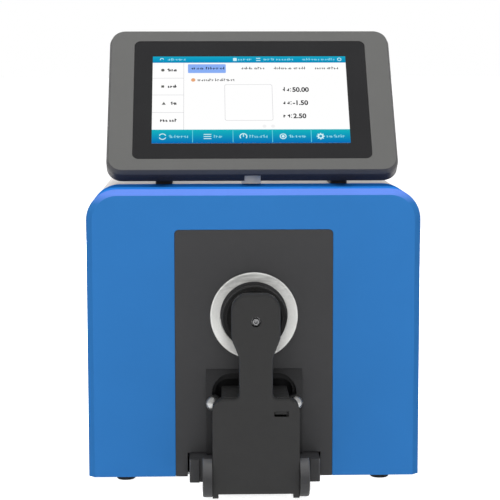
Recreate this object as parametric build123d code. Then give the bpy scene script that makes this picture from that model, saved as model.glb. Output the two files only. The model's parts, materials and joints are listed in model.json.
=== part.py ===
from build123d import *
import os
from math import atan, cos, degrees, radians, sin, tan

# Benchtop colorimeter with a tilting screen and a spring-closed clamp arm.
# Millimetres, +Z up, X to the right, -Y towards the user.
# Everything is drawn with y = 0 on the front face of the casing and z = 0 on
# the bench, and is shifted in Y at the end, so that the origin lies under the
# middle of the whole instrument.

# ---- Casing ----
BODY_WIDTH = 254.0
BODY_HEIGHT = 221.1
BODY_DEPTH = 310.0
CORNER_RADIUS = 23.5
BEZEL_DEPTH = 58.0
BEZEL_CHAMFER = 4.6
BEZEL_WALL = 3.0
FRONT_WALL = 4.0
COVER_INSET = 0.6
COVER_WALL = 2.5
LIP_LENGTH = 8.0
LIP_WALL = 2.0
LIP_GAP = 0.2
SEAM_GAP = 0.3
REAR_PANEL = 3.0
BASE_SHEET = 2.0
BASE_GAP = 0.3
BASE_CURB = 16.0

# ---- Feet ----
FOOT_SCREW_BITE = 3.0
FOOT_RADIUS = 8.0
FOOT_HEIGHT = 8.0
FOOT_TAPER = 0.8
FOOT_INSET = 27.4
FRONT_FOOT_Y = 28.5
REAR_FOOT_INSET = 30.0

# ---- Screws, as shank and head radius and head height ----
M3_SHANK = 1.5
M3_HEAD = 2.75
M3_HEAD_HEIGHT = 2.2
M4_SHANK = 2.0
M4_HEAD = 3.6
M4_HEAD_HEIGHT = 2.4
HEX_DEPTH = 1.2
HOLE_GAP = 0.2
REAR_SCREW_LENGTH = 8.0
REAR_SCREW_EDGE = 9.0
REAR_SCREW_RISE = 15.0

# ---- Front insert panel ----
PANEL_WIDTH = 120.1
PANEL_HEIGHT = 190.4
PANEL_RADIUS = 3.4
PANEL_FLANGE = 6.0
PANEL_FLANGE_THICK = 2.0
PANEL_GAP = 0.2
NOTCH_WIDTH = 102.0
NOTCH_HEIGHT = 18.7
ARCH_WIDTH = 58.8
ARCH_TOP = 84.0
ARCH_BOTTOM = 29.2
ARCH_RADIUS = 9.0
POCKET_DEPTH = 14.0
POCKET_WALL = 2.0

# ---- Measuring port ----
PORT_Z = 133.0
RING_OUTER = 33.3
RING_INNER = 25.7
RING_PROUD = 3.0
RING_RIM = 0.9
RING_CORNER = 0.5
RING_DISH = 4.0
SPIGOT_RADIUS = 30.5
SPIGOT_GAP = 0.3
MASK_GAP = 0.3
MASK_LAND = 21.5
MASK_PROUD = 0.6
APERTURE = 12.7
MASK_EDGE = 1.0
MASK_MOUTH = 16.0
MASK_LENGTH = 11.6
LUG_COUNT = 4
LUG_REACH = 2.4
LUG_THICK = 1.7
LUG_WIDTH = 8.0
LUG_SLOT_TURN = 30.0

# ---- Integrating sphere and optics ----
SPHERE_RADIUS = 79.0
SPHERE_WALL = 4.0
SPHERE_GAP = 1.0
PORT_TUBE = 17.0
PORT_TUBE_WALL = 4.0
PORT_FLANGE = 30.0
PORT_FLANGE_THICK = 3.0
PORT_TUBE_SUNK = 8.0
EQUATOR_FLANGE = 9.0
EQUATOR_THICK = 4.0
FLANGE_SCREWS = 8
STAND_THICK = 4.0
STAND_WIDTH = 168.0
STAND_TOP = 110.0
STAND_FOOT = 26.0
STAND_CORNER = 8.0
CRADLE_GAP = 0.5
LAMP_TUBE = 12.0
LAMP_RADIUS = 2.5
LAMP_BOX = (36.0, 30.0, 40.0)
LAMP_STANDOFF = 7.0
LAMP_WALL = 2.0
LAMP_BACK = 6.0
LAMP_END = 2.8
LAMP_EDGE = 2.0
LAMP_ANGLE = 45.0
VIEW_ANGLE = 8.0
VIEW_TUBE = 9.0
VIEW_WALL = 2.5
VIEW_LENGTH = 20.0
VIEW_SUNK = 4.0
LENS_THICK = 5.0
LENS_CURVE = 18.0
SPECTRO_SIZE = (140.0, 66.0, 52.0)
SPECTRO_CENTRE_X = -25.0
SPECTRO_CORNER = 5.0
LID_THICK = 4.0
LID_LIP = 1.0
TABLE_SHEET = 2.5
TABLE_TOE = 9.0
TABLE_INSET = 3.0
BOARD_SIZE = (118.0, 92.0, 1.6)
BOARD_REAR = 27.663
BOARD_EDGE = 5.0
# Each part on the board as left edge, front edge, width, depth and height.
BOARD_PARTS = [(20.0, 20.0, 20.0, 20.0, 1.6), (60.0, 22.0, 14.0, 14.0, 1.6), (84.0, 46.0, 24.0, 6.0, 8.0)]
STANDOFF_HEIGHT = 9.0
STANDOFF_RADIUS = 3.0
STANDOFF_STUD = 3.0
CAPACITOR_RADIUS = 15.0
CAPACITOR_LENGTH = 52.0
CAPACITOR_GAP = 10.0
CAPACITOR_BACK = 40.0
CLIP_BASE = 2.0
CLIP_MARGIN = 6.0
CLIP_WALL = 2.0
CLIP_HEIGHT = 12.0

# ---- Rear panel fittings ----
SWITCH_X = -92.0
SWITCH_Z = 42.0
SWITCH_WIDTH = 15.0
SWITCH_HEIGHT = 21.0
SWITCH_CORNER = 1.5
SWITCH_FLOOR = 3.0
SWITCH_SIDE = 0.8
SWITCH_FLANGE = 1.5
SWITCH_DEPTH = 16.0
ROCKER_WIDTH = 9.6
ROCKER_LENGTH = 15.0
ROCKER_TILT = 8.0
ROCKER_GAP = 0.5
ROCKER_PIN = 1.2
ROCKER_SUNK = 1.0
ROCKER_FOOT = 1.0
ROCKER_PIN_PROUD = 0.9
ROCKER_CROWN = 3.0
ROCKER_EDGE = 1.2
ROCKER_SKIRT = 4.0
INLET_X = -60.0
INLET_NUT = 6.5
INLET_PROUD = 4.0
INLET_BORE = 3.2
INLET_PIN = 1.0
INLET_WALL = 2.0
INLET_NUT_THICK = 2.5
INLET_DEPTH = 12.0
INLET_BORE_DEPTH = 8.0
USB_X = -30.0
USB_SIZE = (12.0, 10.8)
USB_DEPTH = 14.0
USB_FLOOR = 3.0
USB_WALL = 1.0
USB_PROUD = 0.6
USB_TONGUE = (5.6, 3.2)
VENT_COUNT = 14
VENT_PITCH = 7.0
VENT_WIDTH = 3.0
VENT_LENGTH = 36.0
VENT_Z = 172.0

# ---- Clamp arm and its hinge ----
HINGE_Y = -40.0
HINGE_Z = 17.5
BARREL_RADIUS = 14.6
BARREL_INNER = 32.5
BARREL_OUTER = 39.6
SHAFT_RADIUS = 3.0
RUNNING_GAP = 0.05
EDGE_BREAK = 0.5
OVERLAP = 0.5
CARRIER_WIDTH = 99.0
CARRIER_TOP = 26.2
CARRIER_BOTTOM = 8.3
CARRIER_REAR = 10.0
EAR_WIDTH = 7.5
EAR_REACH = 20.0
EAR_SLOPE = 1.0
BAR_CLEAR = 6.3
BARREL_EDGE = 0.8
TAIL_LENGTH = 36.0
TAIL_THICK = 4.0
TAIL_SCREWS = 4
TAIL_SCREW_PITCH = 24.0
TAIL_SCREW_EDGE = 8.0
ARM_FRONT = -48.0
ARM_SKIN = 3.0
ARM_DEPTH = 10.0
ARM_RIM = 2.5
ARM_FOOT = 6.0
ARM_TOE = 1.0
ARM_WIDTH = 64.4
SHOULDER_Z = 78.2
SHOULDER_RADIUS = 9.4
NECK_WIDTH = 24.8
NECK_FILLET = 4.0
FLARE_LOW = 108.6
FLARE_HIGH = 122.6
FLARE_RADIUS = 12.0
HEAD_WIDTH = 36.0
HEAD_TOP = 155.8
HEAD_RADIUS = 12.0
FLANGE_THICK = 4.3
KNUCKLE_RADIUS = 15.7
ARM_EDGE = 2.0
RIB_THICK = 2.0
RIB_DROP = 4.0
PAD_Z = 133.4
STEM_Z = 135.4
BOSS_RADIUS = 8.0
BOSS_END = -30.0
STEM_RADIUS = 3.0
COUNTERBORE = 3.75
COUNTERBORE_DEPTH = 4.5
WASHER_RADIUS = 3.4
WASHER_THICK = 0.6
SOCKET_HEAD = 3.0
SOCKET_HEAD_EDGE = 0.4
SOCKET_HEX = 1.44
SOCKET_DEPTH = 2.0
PAD_RADIUS = 24.0
PAD_THICK = 4.0
PAD_GAP = 0.3
HOLDER_THICK = 11.0
HOLDER_STEP = 2.2
HOLDER_STEP_DEPTH = 1.6
HOLDER_RIDGE = 1.2
HOLDER_SINK = 2.5
HOLDER_EDGE = 0.4
MARK_COUNT = 8
MARK_WIDTH = 0.9
MARK_PROUD = 1.1
RUBBER_INSET = 0.4
RUBBER_EDGE = 0.6
HUB_RADIUS = 6.0
HUB_LENGTH = 2.5
PAD_SPRING_WIRE = 0.5
PAD_SPRING_TURNS = 3
PAD_SPRING_GAP = 0.9
PAD_SPRING_SEAT = 0.1
ARM_SPRING_GAP = 0.35
ARM_SPRING_WIRE = 0.6
ARM_SPRING_PITCH = 1.8
ARM_SPRING_TURNS = 6
ARM_SPRING_LEG = 18.0
ARM_SPRING_TOE = 9.0
WINDOW = (13.4, 24.2, 64.7, 68.8)
WINDOW_CORNER = 0.8
HOOK_SINK = 2.2
HOOK_SIDES = (0.4, 1.4)
HOOK_ENDS = (1.3, 0.4)
HOOK_DEPTH = 4.0
HOUSING_CORNER = 1.5
CHEEK_REACH = 12.56
CHEEK_RISE = 26.0
HOUSING_EDGE = 1.0
HOUSING_WIDTH = 50.0
HOUSING_TOP = 79.0
HOUSING_BOTTOM = 30.5
HOUSING_REAR = -0.5
HOUSING_WALL = 2.5
HOUSING_TUCK = 0.1

# ---- Guide frame round the arch ----
GUIDE_WIDTH = 73.4
GUIDE_TOP = 91.9
GUIDE_BEVEL_Z = 84.2
GUIDE_PROUD = 6.0
GUIDE_ARCH_WIDTH = 64.2
GUIDE_ARCH_TOP = 88.8
GUIDE_ARCH_RADIUS = 14.5
DOME_X = 31.5
DOME_Z = 66.4
DOME_RADIUS = 5.6
DOME_HEIGHT = 4.0
DOME_BOSS = 6.2
DOME_SHANK_SHIFT = 1.0

# ---- Screen ----
TILT = 38.9
SCREEN_Y = 21.5
SCREEN_Z = 242.6
SCREEN_WIDTH = 222.2
SCREEN_HEIGHT = 137.0
SCREEN_CORNER = 11.0
SCREEN_EDGE = 0.4
SCREEN_FLARE = 1.6
SCREEN_BEVEL = 4.0
BACK_EDGE = 2.2
FRAME_THICK = 8.0
BACK_THICK = 7.0
FRAME_FACE = 4.5
FRAME_WALL = 3.0
GLASS_WIDTH = 185.3
GLASS_HEIGHT = 116.4
GLASS_CORNER = 5.0
GLASS_THICK = 1.8
GLASS_GAP = 0.2
LCD_WIDTH = 165.0
LCD_HEIGHT = 100.0
LCD_THICK = 5.0
BULGE_WIDTH = 168.0
BULGE_HEIGHT = 92.0
BULGE_CORNER = 8.0
BULGE_INSIDE = 3.0
BULGE_DEPTH = 12.0
BULGE_TAPER = 20.0
BACK_WALL = 2.5
CABLE_NOTCH = 12.6
CABLE_NOTCH_HEIGHT = 9.0
CABLE_NOTCH_FRONT = 5.7
DUCT_WIDTH = 15.0
DUCT_DEPTH = 12.0
DUCT_HEIGHT = 9.5
DUCT_WALL = 1.5
DUCT_CORNER = 2.5
DUCT_EDGE = 0.8
DUCT_BACK = 1.5
DUCT_SLOT = (8.0, 4.0)
DUCT_HOLE = 3.5
SCREEN_BOARD = (120.0, 66.0, 1.6)
SCREEN_BOARD_GAP = 4.0
SCREEN_BOARD_EDGE = 5.0
SCREEN_POST = 2.5
SCREEN_CHIP = (14.0, 1.4)
SCREEN_CHIP_PLACES = [(-30.0, -12.0), (18.0, 8.0)]
SCREEN_VENTS = 9
SCREEN_VENT_PITCH = 9.0
SCREEN_VENT_WIDTH = 3.0
SCREEN_VENT_LENGTH = 18.0
SCREEN_VENT_RISE = 22.0

# ---- Screen hinge ----
AXIS_UP = 35.0
AXIS_BACK = 34.0
HINGE_INSET = 15.0
BRACKET_WIDTH = 13.2
BRACKET_LENGTH = 37.0
BRACKET_BASE = 3.0
BRACKET_CORNER = 2.0
BRACKET_SCREW_EDGE = 6.0
EAR_TOE = 5.0
EAR_HEEL = 1.0
EAR_THICK = 8.0
EAR_RADIUS = 5.2
LUG_RADIUS = 7.0
LUG_SIDE = 4.5
LUG_CLEAR = 0.5
PIN_RADIUS = 3.0
PIN_HEAD = 5.0
PIN_HEAD_THICK = 2.0

# ---- Places worked out from the sizes above ----
BODY_BOTTOM = FOOT_HEIGHT
BODY_TOP = FOOT_HEIGHT + BODY_HEIGHT
HALF_BODY = BODY_WIDTH / 2
COVER_TOP = BODY_TOP - COVER_INSET
DUCT_Y = BEZEL_DEPTH + SEAM_GAP + DUCT_BACK + DUCT_DEPTH / 2
HALF_COVER = HALF_BODY - COVER_INSET
FLOOR_TOP = BODY_BOTTOM + BASE_SHEET
PANEL_BACK = FRONT_WALL + PANEL_FLANGE_THICK
MASK_FACE = -RING_PROUD - MASK_PROUD
MASK_REAR = MASK_FACE + MASK_LENGTH
PORT_FRONT = MASK_REAR + SPHERE_GAP
SPHERE_Y = PORT_FRONT + SPHERE_RADIUS
STAND_Y = SPHERE_Y + EQUATOR_THICK
VIEW_END = (SPHERE_RADIUS * cos(radians(2 * VIEW_ANGLE)) + VIEW_TUBE * sin(radians(VIEW_ANGLE))
            + (VIEW_LENGTH - VIEW_SUNK) * cos(radians(VIEW_ANGLE)))
SPECTRO_Y = SPHERE_Y + VIEW_END + SEAM_GAP
PAD_FACE = MASK_FACE - PAD_GAP
HOLDER_FACE = PAD_FACE - PAD_THICK
HOLDER_BACK = HOLDER_FACE - HOLDER_THICK
HUB_END = HOLDER_BACK - HUB_LENGTH
SEAT_Y = ARM_FRONT + COUNTERBORE_DEPTH
ARM_BACK = ARM_FRONT + ARM_DEPTH
SKIN_BACK = ARM_FRONT + ARM_SKIN
FLANGE_INNER = ARM_WIDTH / 2 - FLANGE_THICK
REAR_FACE = BODY_DEPTH
PANEL_INSIDE = REAR_FACE - REAR_PANEL
BARREL_FRONT = HINGE_Y - BARREL_RADIUS
FRONT_Y = -(REAR_FACE + INLET_PROUD + BARREL_FRONT) / 2
BRACKET_X = BULGE_WIDTH / 2 - HINGE_INSET
SCREEN_REAR = FRAME_THICK + BACK_THICK
HUMP_REAR = SCREEN_REAR + BULGE_DEPTH
ROCKER_AXIS_Y = REAR_FACE - ROCKER_SUNK
TAIL_SCREW_Y = CARRIER_REAR + TAIL_LENGTH - TAIL_SCREW_EDGE
BRACKET_FRONT = BEZEL_DEPTH + SEAM_GAP
SCREEN_PLACE = Location((0, SCREEN_Y, SCREEN_Z), (-TILT, 0, 0))
AXIS_Y = SCREEN_Y + AXIS_UP * sin(radians(TILT)) + AXIS_BACK * cos(radians(TILT))
AXIS_Z = SCREEN_Z + AXIS_UP * cos(radians(TILT)) - AXIS_BACK * sin(radians(TILT))


# ---- Small helpers ----
def block(x0, x1, y0, y1, z0, z1):
    """Square block between two planes on each axis."""
    centre = Pos((x0 + x1) / 2, (y0 + y1) / 2, (z0 + z1) / 2)
    return centre * Box(x1 - x0, y1 - y0, z1 - z0)


def slab(outline, y_front, y_back, taper=0):
    """Front-view outline (x, z) made solid between two depths."""
    plane = Plane.XZ.offset(-y_back)
    return extrude(plane * outline, amount=y_back - y_front, taper=taper)


def side_slab(outline, x0, x1):
    """Side-view outline (y, z) made solid between two widths."""
    return extrude(Plane.YZ.offset(x0) * outline, amount=x1 - x0)


def oblong(x0, x1, z0, z1, radius=0):
    """Upright rectangle with all corners alike."""
    shape = RectangleRounded(x1 - x0, z1 - z0, radius) if radius else Rectangle(x1 - x0, z1 - z0)
    return Pos((x0 + x1) / 2, (z0 + z1) / 2) * shape


def arched(width, bottom, top, radius):
    """Front-view outline with square feet and rounded upper corners."""
    flat = oblong(-width / 2, width / 2, bottom, top)
    return fillet(flat.vertices().group_by(Axis.Y)[-1], radius)


def outline_of(points, radii):
    """Closed outline with a radius for each corner."""
    return make_face(FilletPolyline(*points, radius=radii, close=True))


def rod_x(radius, x0, x1, y=0, z=0):
    return Pos((x0 + x1) / 2, y, z) * Rot(0, 90, 0) * Cylinder(radius, x1 - x0)


def rod_y(radius, y0, y1, x=0, z=0):
    return Pos(x, (y0 + y1) / 2, z) * Rot(90, 0, 0) * Cylinder(radius, y1 - y0)


def rod_z(radius, z0, z1, x=0, y=0):
    return Pos(x, y, (z0 + z1) / 2) * Cylinder(radius, z1 - z0)


def turned_y(points, x=0, z=0):
    """Profile of (radius, y) points turned about a line along Y."""
    profile = make_face(Polyline(*points, close=True))
    return Pos(x, 0, z) * revolve(profile, Axis.Y)


def turned_z(points, x=0, y=0, z=0):
    """Profile of (radius, z) points turned about an upright line."""
    profile = make_face(Plane.XZ * Polyline(*points, close=True))
    return Pos(x, y, z) * revolve(profile, Axis.Z)


def pan_screw(shank, head, head_height, length):
    """Pan-head screw along +Z, its head under z = 0 and its shank above."""
    body = turned_z([(0, -head_height), (head * 0.7, -head_height), (head, -head_height * 0.45),
                     (head, 0), (shank, 0), (shank, length), (0, length)])
    drive = Pos(0, 0, -head_height) * extrude(RegularPolygon(head * 0.45, 6), amount=HEX_DEPTH)
    return body - drive


def mirrored(part):
    """The part with its copy on the other side of the centre plane."""
    return [part, mirror(part, Plane.YZ)]


# ---- Casing ----
def front_bezel():
    """Moulded front hood: chamfered face, deep sides, open underneath."""
    hood = slab(arched(BODY_WIDTH, BODY_BOTTOM, BODY_TOP, CORNER_RADIUS), 0, BEZEL_DEPTH)
    face = hood.faces().sort_by(Axis.Y)[0]
    rim = [edge for edge in face.edges() if edge.center().Z > BODY_BOTTOM + 1]
    hood = chamfer(rim, BEZEL_CHAMFER)
    inside = arched(BODY_WIDTH - 2 * BEZEL_WALL, BODY_BOTTOM - 1, BODY_TOP - BEZEL_WALL,
                    CORNER_RADIUS - BEZEL_WALL)
    cavity = slab(inside, FRONT_WALL, BEZEL_DEPTH + 1)
    opening = arched(PANEL_WIDTH + 2 * PANEL_GAP, BODY_BOTTOM - 1, BODY_BOTTOM + PANEL_HEIGHT + PANEL_GAP,
                     PANEL_RADIUS)
    window = slab(opening, -1, FRONT_WALL + 1)
    return hood - cavity - window


def main_cover():
    """Sheet hood behind the bezel, with a lip that tucks inside it."""
    rear = PANEL_INSIDE - SEAM_GAP
    front = BEZEL_DEPTH + SEAM_GAP
    radius = CORNER_RADIUS - COVER_INSET
    skin = slab(arched(2 * HALF_COVER, BODY_BOTTOM, COVER_TOP, radius), front, rear)
    inside = arched(2 * (HALF_COVER - COVER_WALL), BODY_BOTTOM - 1, COVER_TOP - COVER_WALL,
                    radius - COVER_WALL)
    skin -= slab(inside, front - 1, rear + 1)
    step = BEZEL_WALL + LIP_GAP
    inner = step + LIP_WALL
    lip_foot = BODY_BOTTOM + BASE_CURB + SEAM_GAP
    joggle = slab(arched(2 * HALF_COVER, lip_foot, COVER_TOP, radius), front, front + COVER_WALL)
    lip = slab(arched(BODY_WIDTH - 2 * step, lip_foot, BODY_TOP - step, CORNER_RADIUS - step),
               front - LIP_LENGTH, front + COVER_WALL)
    bore = slab(arched(BODY_WIDTH - 2 * inner, BODY_BOTTOM - 1, BODY_TOP - inner, CORNER_RADIUS - inner),
                front - LIP_LENGTH - 1, front + COVER_WALL + 1)
    skin -= rod_z(DUCT_HOLE, COVER_TOP - COVER_WALL - 1, COVER_TOP + 1, 0, DUCT_Y)
    return skin + ((joggle + lip) - bore)


def cable_duct():
    """Hollow cap over the cable hole in the cover, with a slot at the top of its rear wall."""
    cap = extrude(Pos(0, DUCT_Y, COVER_TOP) * RectangleRounded(DUCT_WIDTH, DUCT_DEPTH, DUCT_CORNER),
                  amount=DUCT_HEIGHT)
    cap = fillet(cap.faces().sort_by(Axis.Z)[-1].edges(), DUCT_EDGE)
    width, depth = DUCT_WIDTH - 2 * DUCT_WALL, DUCT_DEPTH - 2 * DUCT_WALL
    cap -= extrude(Pos(0, DUCT_Y, COVER_TOP - 1) * RectangleRounded(width, depth, DUCT_CORNER - DUCT_WALL),
                   amount=DUCT_HEIGHT - DUCT_WALL + 1)
    slot_width, slot_height = DUCT_SLOT
    slot_top = COVER_TOP + DUCT_HEIGHT - DUCT_WALL
    return cap - block(-slot_width / 2, slot_width / 2, DUCT_Y, DUCT_Y + DUCT_DEPTH,
                       slot_top - slot_height, slot_top)


def rear_panel():
    """Back plate with vents and the holes for switch, inlet and USB socket."""
    plate = slab(arched(2 * HALF_COVER, BODY_BOTTOM, COVER_TOP, CORNER_RADIUS - COVER_INSET),
                 PANEL_INSIDE, REAR_FACE)
    vent = oblong(-VENT_WIDTH / 2, VENT_WIDTH / 2, -VENT_LENGTH / 2, VENT_LENGTH / 2, VENT_WIDTH * 0.49)
    for index in range(VENT_COUNT):
        x = (index - (VENT_COUNT - 1) / 2) * VENT_PITCH
        plate -= slab(Pos(x, VENT_Z) * vent, PANEL_INSIDE - 1, REAR_FACE + 1)
    half_w = SWITCH_WIDTH / 2 - SWITCH_FLANGE + HOLE_GAP
    half_h = SWITCH_HEIGHT / 2 - SWITCH_FLANGE + HOLE_GAP
    plate -= block(SWITCH_X - half_w, SWITCH_X + half_w, PANEL_INSIDE - 1, REAR_FACE + 1,
                   SWITCH_Z - half_h, SWITCH_Z + half_h)
    plate -= rod_y(INLET_NUT - INLET_WALL + HOLE_GAP, PANEL_INSIDE - 1, REAR_FACE + 1, INLET_X, SWITCH_Z)
    half_w = USB_SIZE[0] / 2 + HOLE_GAP
    half_h = USB_SIZE[1] / 2 + HOLE_GAP
    plate -= block(USB_X - half_w, USB_X + half_w, PANEL_INSIDE - 1, REAR_FACE + 1,
                   SWITCH_Z - half_h, SWITCH_Z + half_h)
    for x, z in rear_screw_places():
        plate -= rod_y(M3_SHANK + HOLE_GAP, PANEL_INSIDE - 1, REAR_FACE + 1, x, z)
    return plate


def rear_screw_places():
    return [(side * (HALF_COVER - REAR_SCREW_EDGE), z) for side in (-1, 1)
            for z in (BODY_BOTTOM + REAR_SCREW_RISE, BODY_TOP - CORNER_RADIUS)]


def rear_screws():
    """Four pan-head screws that hold the back plate."""
    screw = pan_screw(M3_SHANK, M3_HEAD, M3_HEAD_HEIGHT, REAR_SCREW_LENGTH)
    return [Pos(x, REAR_FACE, z) * Rot(90, 0, 0) * screw for x, z in rear_screw_places()]


def foot_places():
    half = HALF_BODY - FOOT_INSET
    rear = BODY_DEPTH - REAR_FOOT_INSET
    return {
        "foot_front_left": (-half, FRONT_FOOT_Y),
        "foot_front_right": (half, FRONT_FOOT_Y),
        "foot_rear_left": (-half, rear),
        "foot_rear_right": (half, rear),
    }


def base_plate():
    """Bent steel floor with turned-up sides and a mouth for the arm hinge."""
    half = HALF_COVER - COVER_WALL - BASE_GAP
    front = PANEL_BACK + BASE_GAP
    rear = PANEL_INSIDE - BASE_GAP
    curb = BASE_CURB
    channel = outline_of([(-half, BODY_BOTTOM), (half, BODY_BOTTOM), (half, BODY_BOTTOM + curb),
                          (half - BASE_SHEET, BODY_BOTTOM + curb), (half - BASE_SHEET, FLOOR_TOP),
                          (BASE_SHEET - half, FLOOR_TOP), (BASE_SHEET - half, BODY_BOTTOM + curb),
                          (-half, BODY_BOTTOM + curb)],
                         [BASE_SHEET, BASE_SHEET, 0, 0, EDGE_BREAK, EDGE_BREAK, 0, 0])
    sheet = slab(channel, front, rear)
    mouth = CARRIER_WIDTH / 2 + BASE_GAP
    sheet -= block(-mouth, mouth, front - 1, CARRIER_REAR + BASE_GAP, 0, FLOOR_TOP + 1)
    for x, y in foot_places().values():
        sheet -= rod_z(M4_SHANK + HOLE_GAP, 0, FLOOR_TOP + 1, x, y)
    for x in tail_screw_xs():
        sheet -= rod_z(M3_SHANK + HOLE_GAP, 0, FLOOR_TOP + 1, x, TAIL_SCREW_Y)
    return sheet


def foot(x, y):
    """Tapered rubber foot with a sunk hole for its screw."""
    sink = FOOT_HEIGHT / 2
    return turned_z([(M4_SHANK + HOLE_GAP, sink), (M4_HEAD + HOLE_GAP, sink), (M4_HEAD + HOLE_GAP, 0),
                     (FOOT_RADIUS - FOOT_TAPER - EDGE_BREAK, 0), (FOOT_RADIUS - FOOT_TAPER, EDGE_BREAK),
                     (FOOT_RADIUS, FOOT_HEIGHT), (M4_SHANK + HOLE_GAP, FOOT_HEIGHT)], x, y)


def foot_screws():
    screw = pan_screw(M4_SHANK, M4_HEAD, M4_HEAD_HEIGHT, FOOT_HEIGHT / 2 + BASE_SHEET + FOOT_SCREW_BITE)
    return [Pos(x, y, FOOT_HEIGHT / 2) * screw for x, y in foot_places().values()]


# ---- Front insert ----
def arch_outline(grow=0.0):
    return oblong(-ARCH_WIDTH / 2 - grow, ARCH_WIDTH / 2 + grow, ARCH_BOTTOM - grow, ARCH_TOP + grow,
                  ARCH_RADIUS + grow)


def front_panel():
    """Dark insert with the port bore, the arm's arched recess and the hinge notch."""
    top = BODY_BOTTOM + PANEL_HEIGHT
    plate = slab(arched(PANEL_WIDTH, BODY_BOTTOM, top, PANEL_RADIUS), 0, PANEL_BACK)
    plate += slab(arched(PANEL_WIDTH + 2 * PANEL_FLANGE, BODY_BOTTOM, top + PANEL_FLANGE,
                         PANEL_RADIUS + PANEL_FLANGE), FRONT_WALL, PANEL_BACK)
    plate += slab(arch_outline(POCKET_WALL), FRONT_WALL, POCKET_DEPTH)
    plate -= slab(arch_outline(), -1, POCKET_DEPTH - POCKET_WALL)
    plate -= rod_y(SPIGOT_RADIUS + SPIGOT_GAP, -1, PANEL_BACK + 1, 0, PORT_Z)
    plate -= block(-NOTCH_WIDTH / 2, NOTCH_WIDTH / 2, -1, POCKET_DEPTH + 1, 0, BODY_BOTTOM + NOTCH_HEIGHT)
    for side in (-1, 1):
        plate -= rod_y(M3_SHANK + HOLE_GAP, -1, POCKET_DEPTH + 1, side * (DOME_X + DOME_SHANK_SHIFT), DOME_Z)
    return plate


def aperture_ring():
    """Bright dished ring on the panel, slotted for the mask's lugs."""
    slope = RING_OUTER - RING_RIM
    ring = turned_y([(RING_INNER, RING_DISH - RING_PROUD), (slope, -RING_PROUD),
                     (RING_OUTER - RING_CORNER, -RING_PROUD), (RING_OUTER, RING_CORNER - RING_PROUD),
                     (RING_OUTER, 0), (SPIGOT_RADIUS, 0), (SPIGOT_RADIUS, PANEL_BACK),
                     (RING_INNER, PANEL_BACK)], 0, PORT_Z)
    reach = RING_INNER - MASK_GAP + LUG_REACH + MASK_GAP
    half = LUG_WIDTH / 2 + MASK_GAP
    for index in range(LUG_COUNT):
        turn = LUG_SLOT_TURN + index * 360 / LUG_COUNT
        slot = block(0, reach, RING_DISH - RING_PROUD + 1, PANEL_BACK + 1, -half, half)
        ring -= Pos(0, 0, PORT_Z) * Rot(0, turn, 0) * slot
    return ring


def aperture_mask():
    """Twist-lock mask with a knife-edged hole and four lugs behind the ring."""
    body = RING_INNER - MASK_GAP
    step = RING_DISH - RING_PROUD
    mask = turned_y([(APERTURE, MASK_FACE), (MASK_LAND - EDGE_BREAK, MASK_FACE),
                     (MASK_LAND, MASK_FACE + EDGE_BREAK),
                     (MASK_LAND, step), (body, step), (body, MASK_REAR), (MASK_MOUTH, MASK_REAR),
                     (APERTURE, MASK_FACE + MASK_EDGE)], 0, PORT_Z)
    lug_ring = turned_y([(body - OVERLAP, MASK_REAR - LUG_THICK), (body + LUG_REACH, MASK_REAR - LUG_THICK),
                         (body + LUG_REACH, MASK_REAR), (body - OVERLAP, MASK_REAR)], 0, PORT_Z)
    for index in range(LUG_COUNT):
        strip = block(0, body + LUG_REACH + 1, MASK_REAR - LUG_THICK, MASK_REAR,
                      -LUG_WIDTH / 2, LUG_WIDTH / 2)
        mask += lug_ring & (Pos(0, 0, PORT_Z) * Rot(0, index * 360 / LUG_COUNT, 0) * strip)
    return mask


def guide_frame():
    """Trim round the arch: sloped head, two legs and a boss for each screw."""
    foot_z = BODY_BOTTOM + NOTCH_HEIGHT + SEAM_GAP
    side = make_face(Polyline((0, foot_z), (-GUIDE_PROUD, foot_z), (-GUIDE_PROUD, GUIDE_BEVEL_Z),
                              (0, GUIDE_TOP), close=True))
    half = GUIDE_WIDTH / 2
    frame = side_slab(side, -half, half)
    arch = oblong(-GUIDE_ARCH_WIDTH / 2, GUIDE_ARCH_WIDTH / 2, foot_z - 2 * GUIDE_ARCH_RADIUS,
                  GUIDE_ARCH_TOP, GUIDE_ARCH_RADIUS)
    frame -= slab(arch, -GUIDE_PROUD - 1, 1)
    for sign in (-1, 1):
        boss = rod_y(DOME_BOSS, -GUIDE_PROUD, 0, sign * DOME_X, DOME_Z)
        frame += boss & block(-half, half, -GUIDE_PROUD, 0, foot_z, GUIDE_TOP)
    for sign in (-1, 1):
        frame -= rod_y(M3_SHANK + HOLE_GAP, -GUIDE_PROUD - 1, 1, sign * (DOME_X + DOME_SHANK_SHIFT), DOME_Z)
    return frame


def dome_screws():
    """Two bright dome-head screws through the guide frame."""
    sphere_radius = (DOME_RADIUS ** 2 + DOME_HEIGHT ** 2) / (2 * DOME_HEIGHT)
    screws = []
    for sign in (-1, 1):
        dome = Pos(sign * DOME_X, -GUIDE_PROUD - DOME_HEIGHT + sphere_radius, DOME_Z) * Sphere(sphere_radius)
        dome &= block(-HALF_BODY, HALF_BODY, -HALF_BODY, -GUIDE_PROUD, 0, BODY_TOP)
        shank = rod_y(M3_SHANK, -GUIDE_PROUD - DOME_HEIGHT / 8, PANEL_BACK,
                      sign * (DOME_X + DOME_SHANK_SHIFT), DOME_Z)
        screws.append(dome + shank)
    return screws


# ---- Hinge of the arm ----
def tail_screw_xs():
    return [(index - (TAIL_SCREWS - 1) / 2) * TAIL_SCREW_PITCH for index in range(TAIL_SCREWS)]


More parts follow.
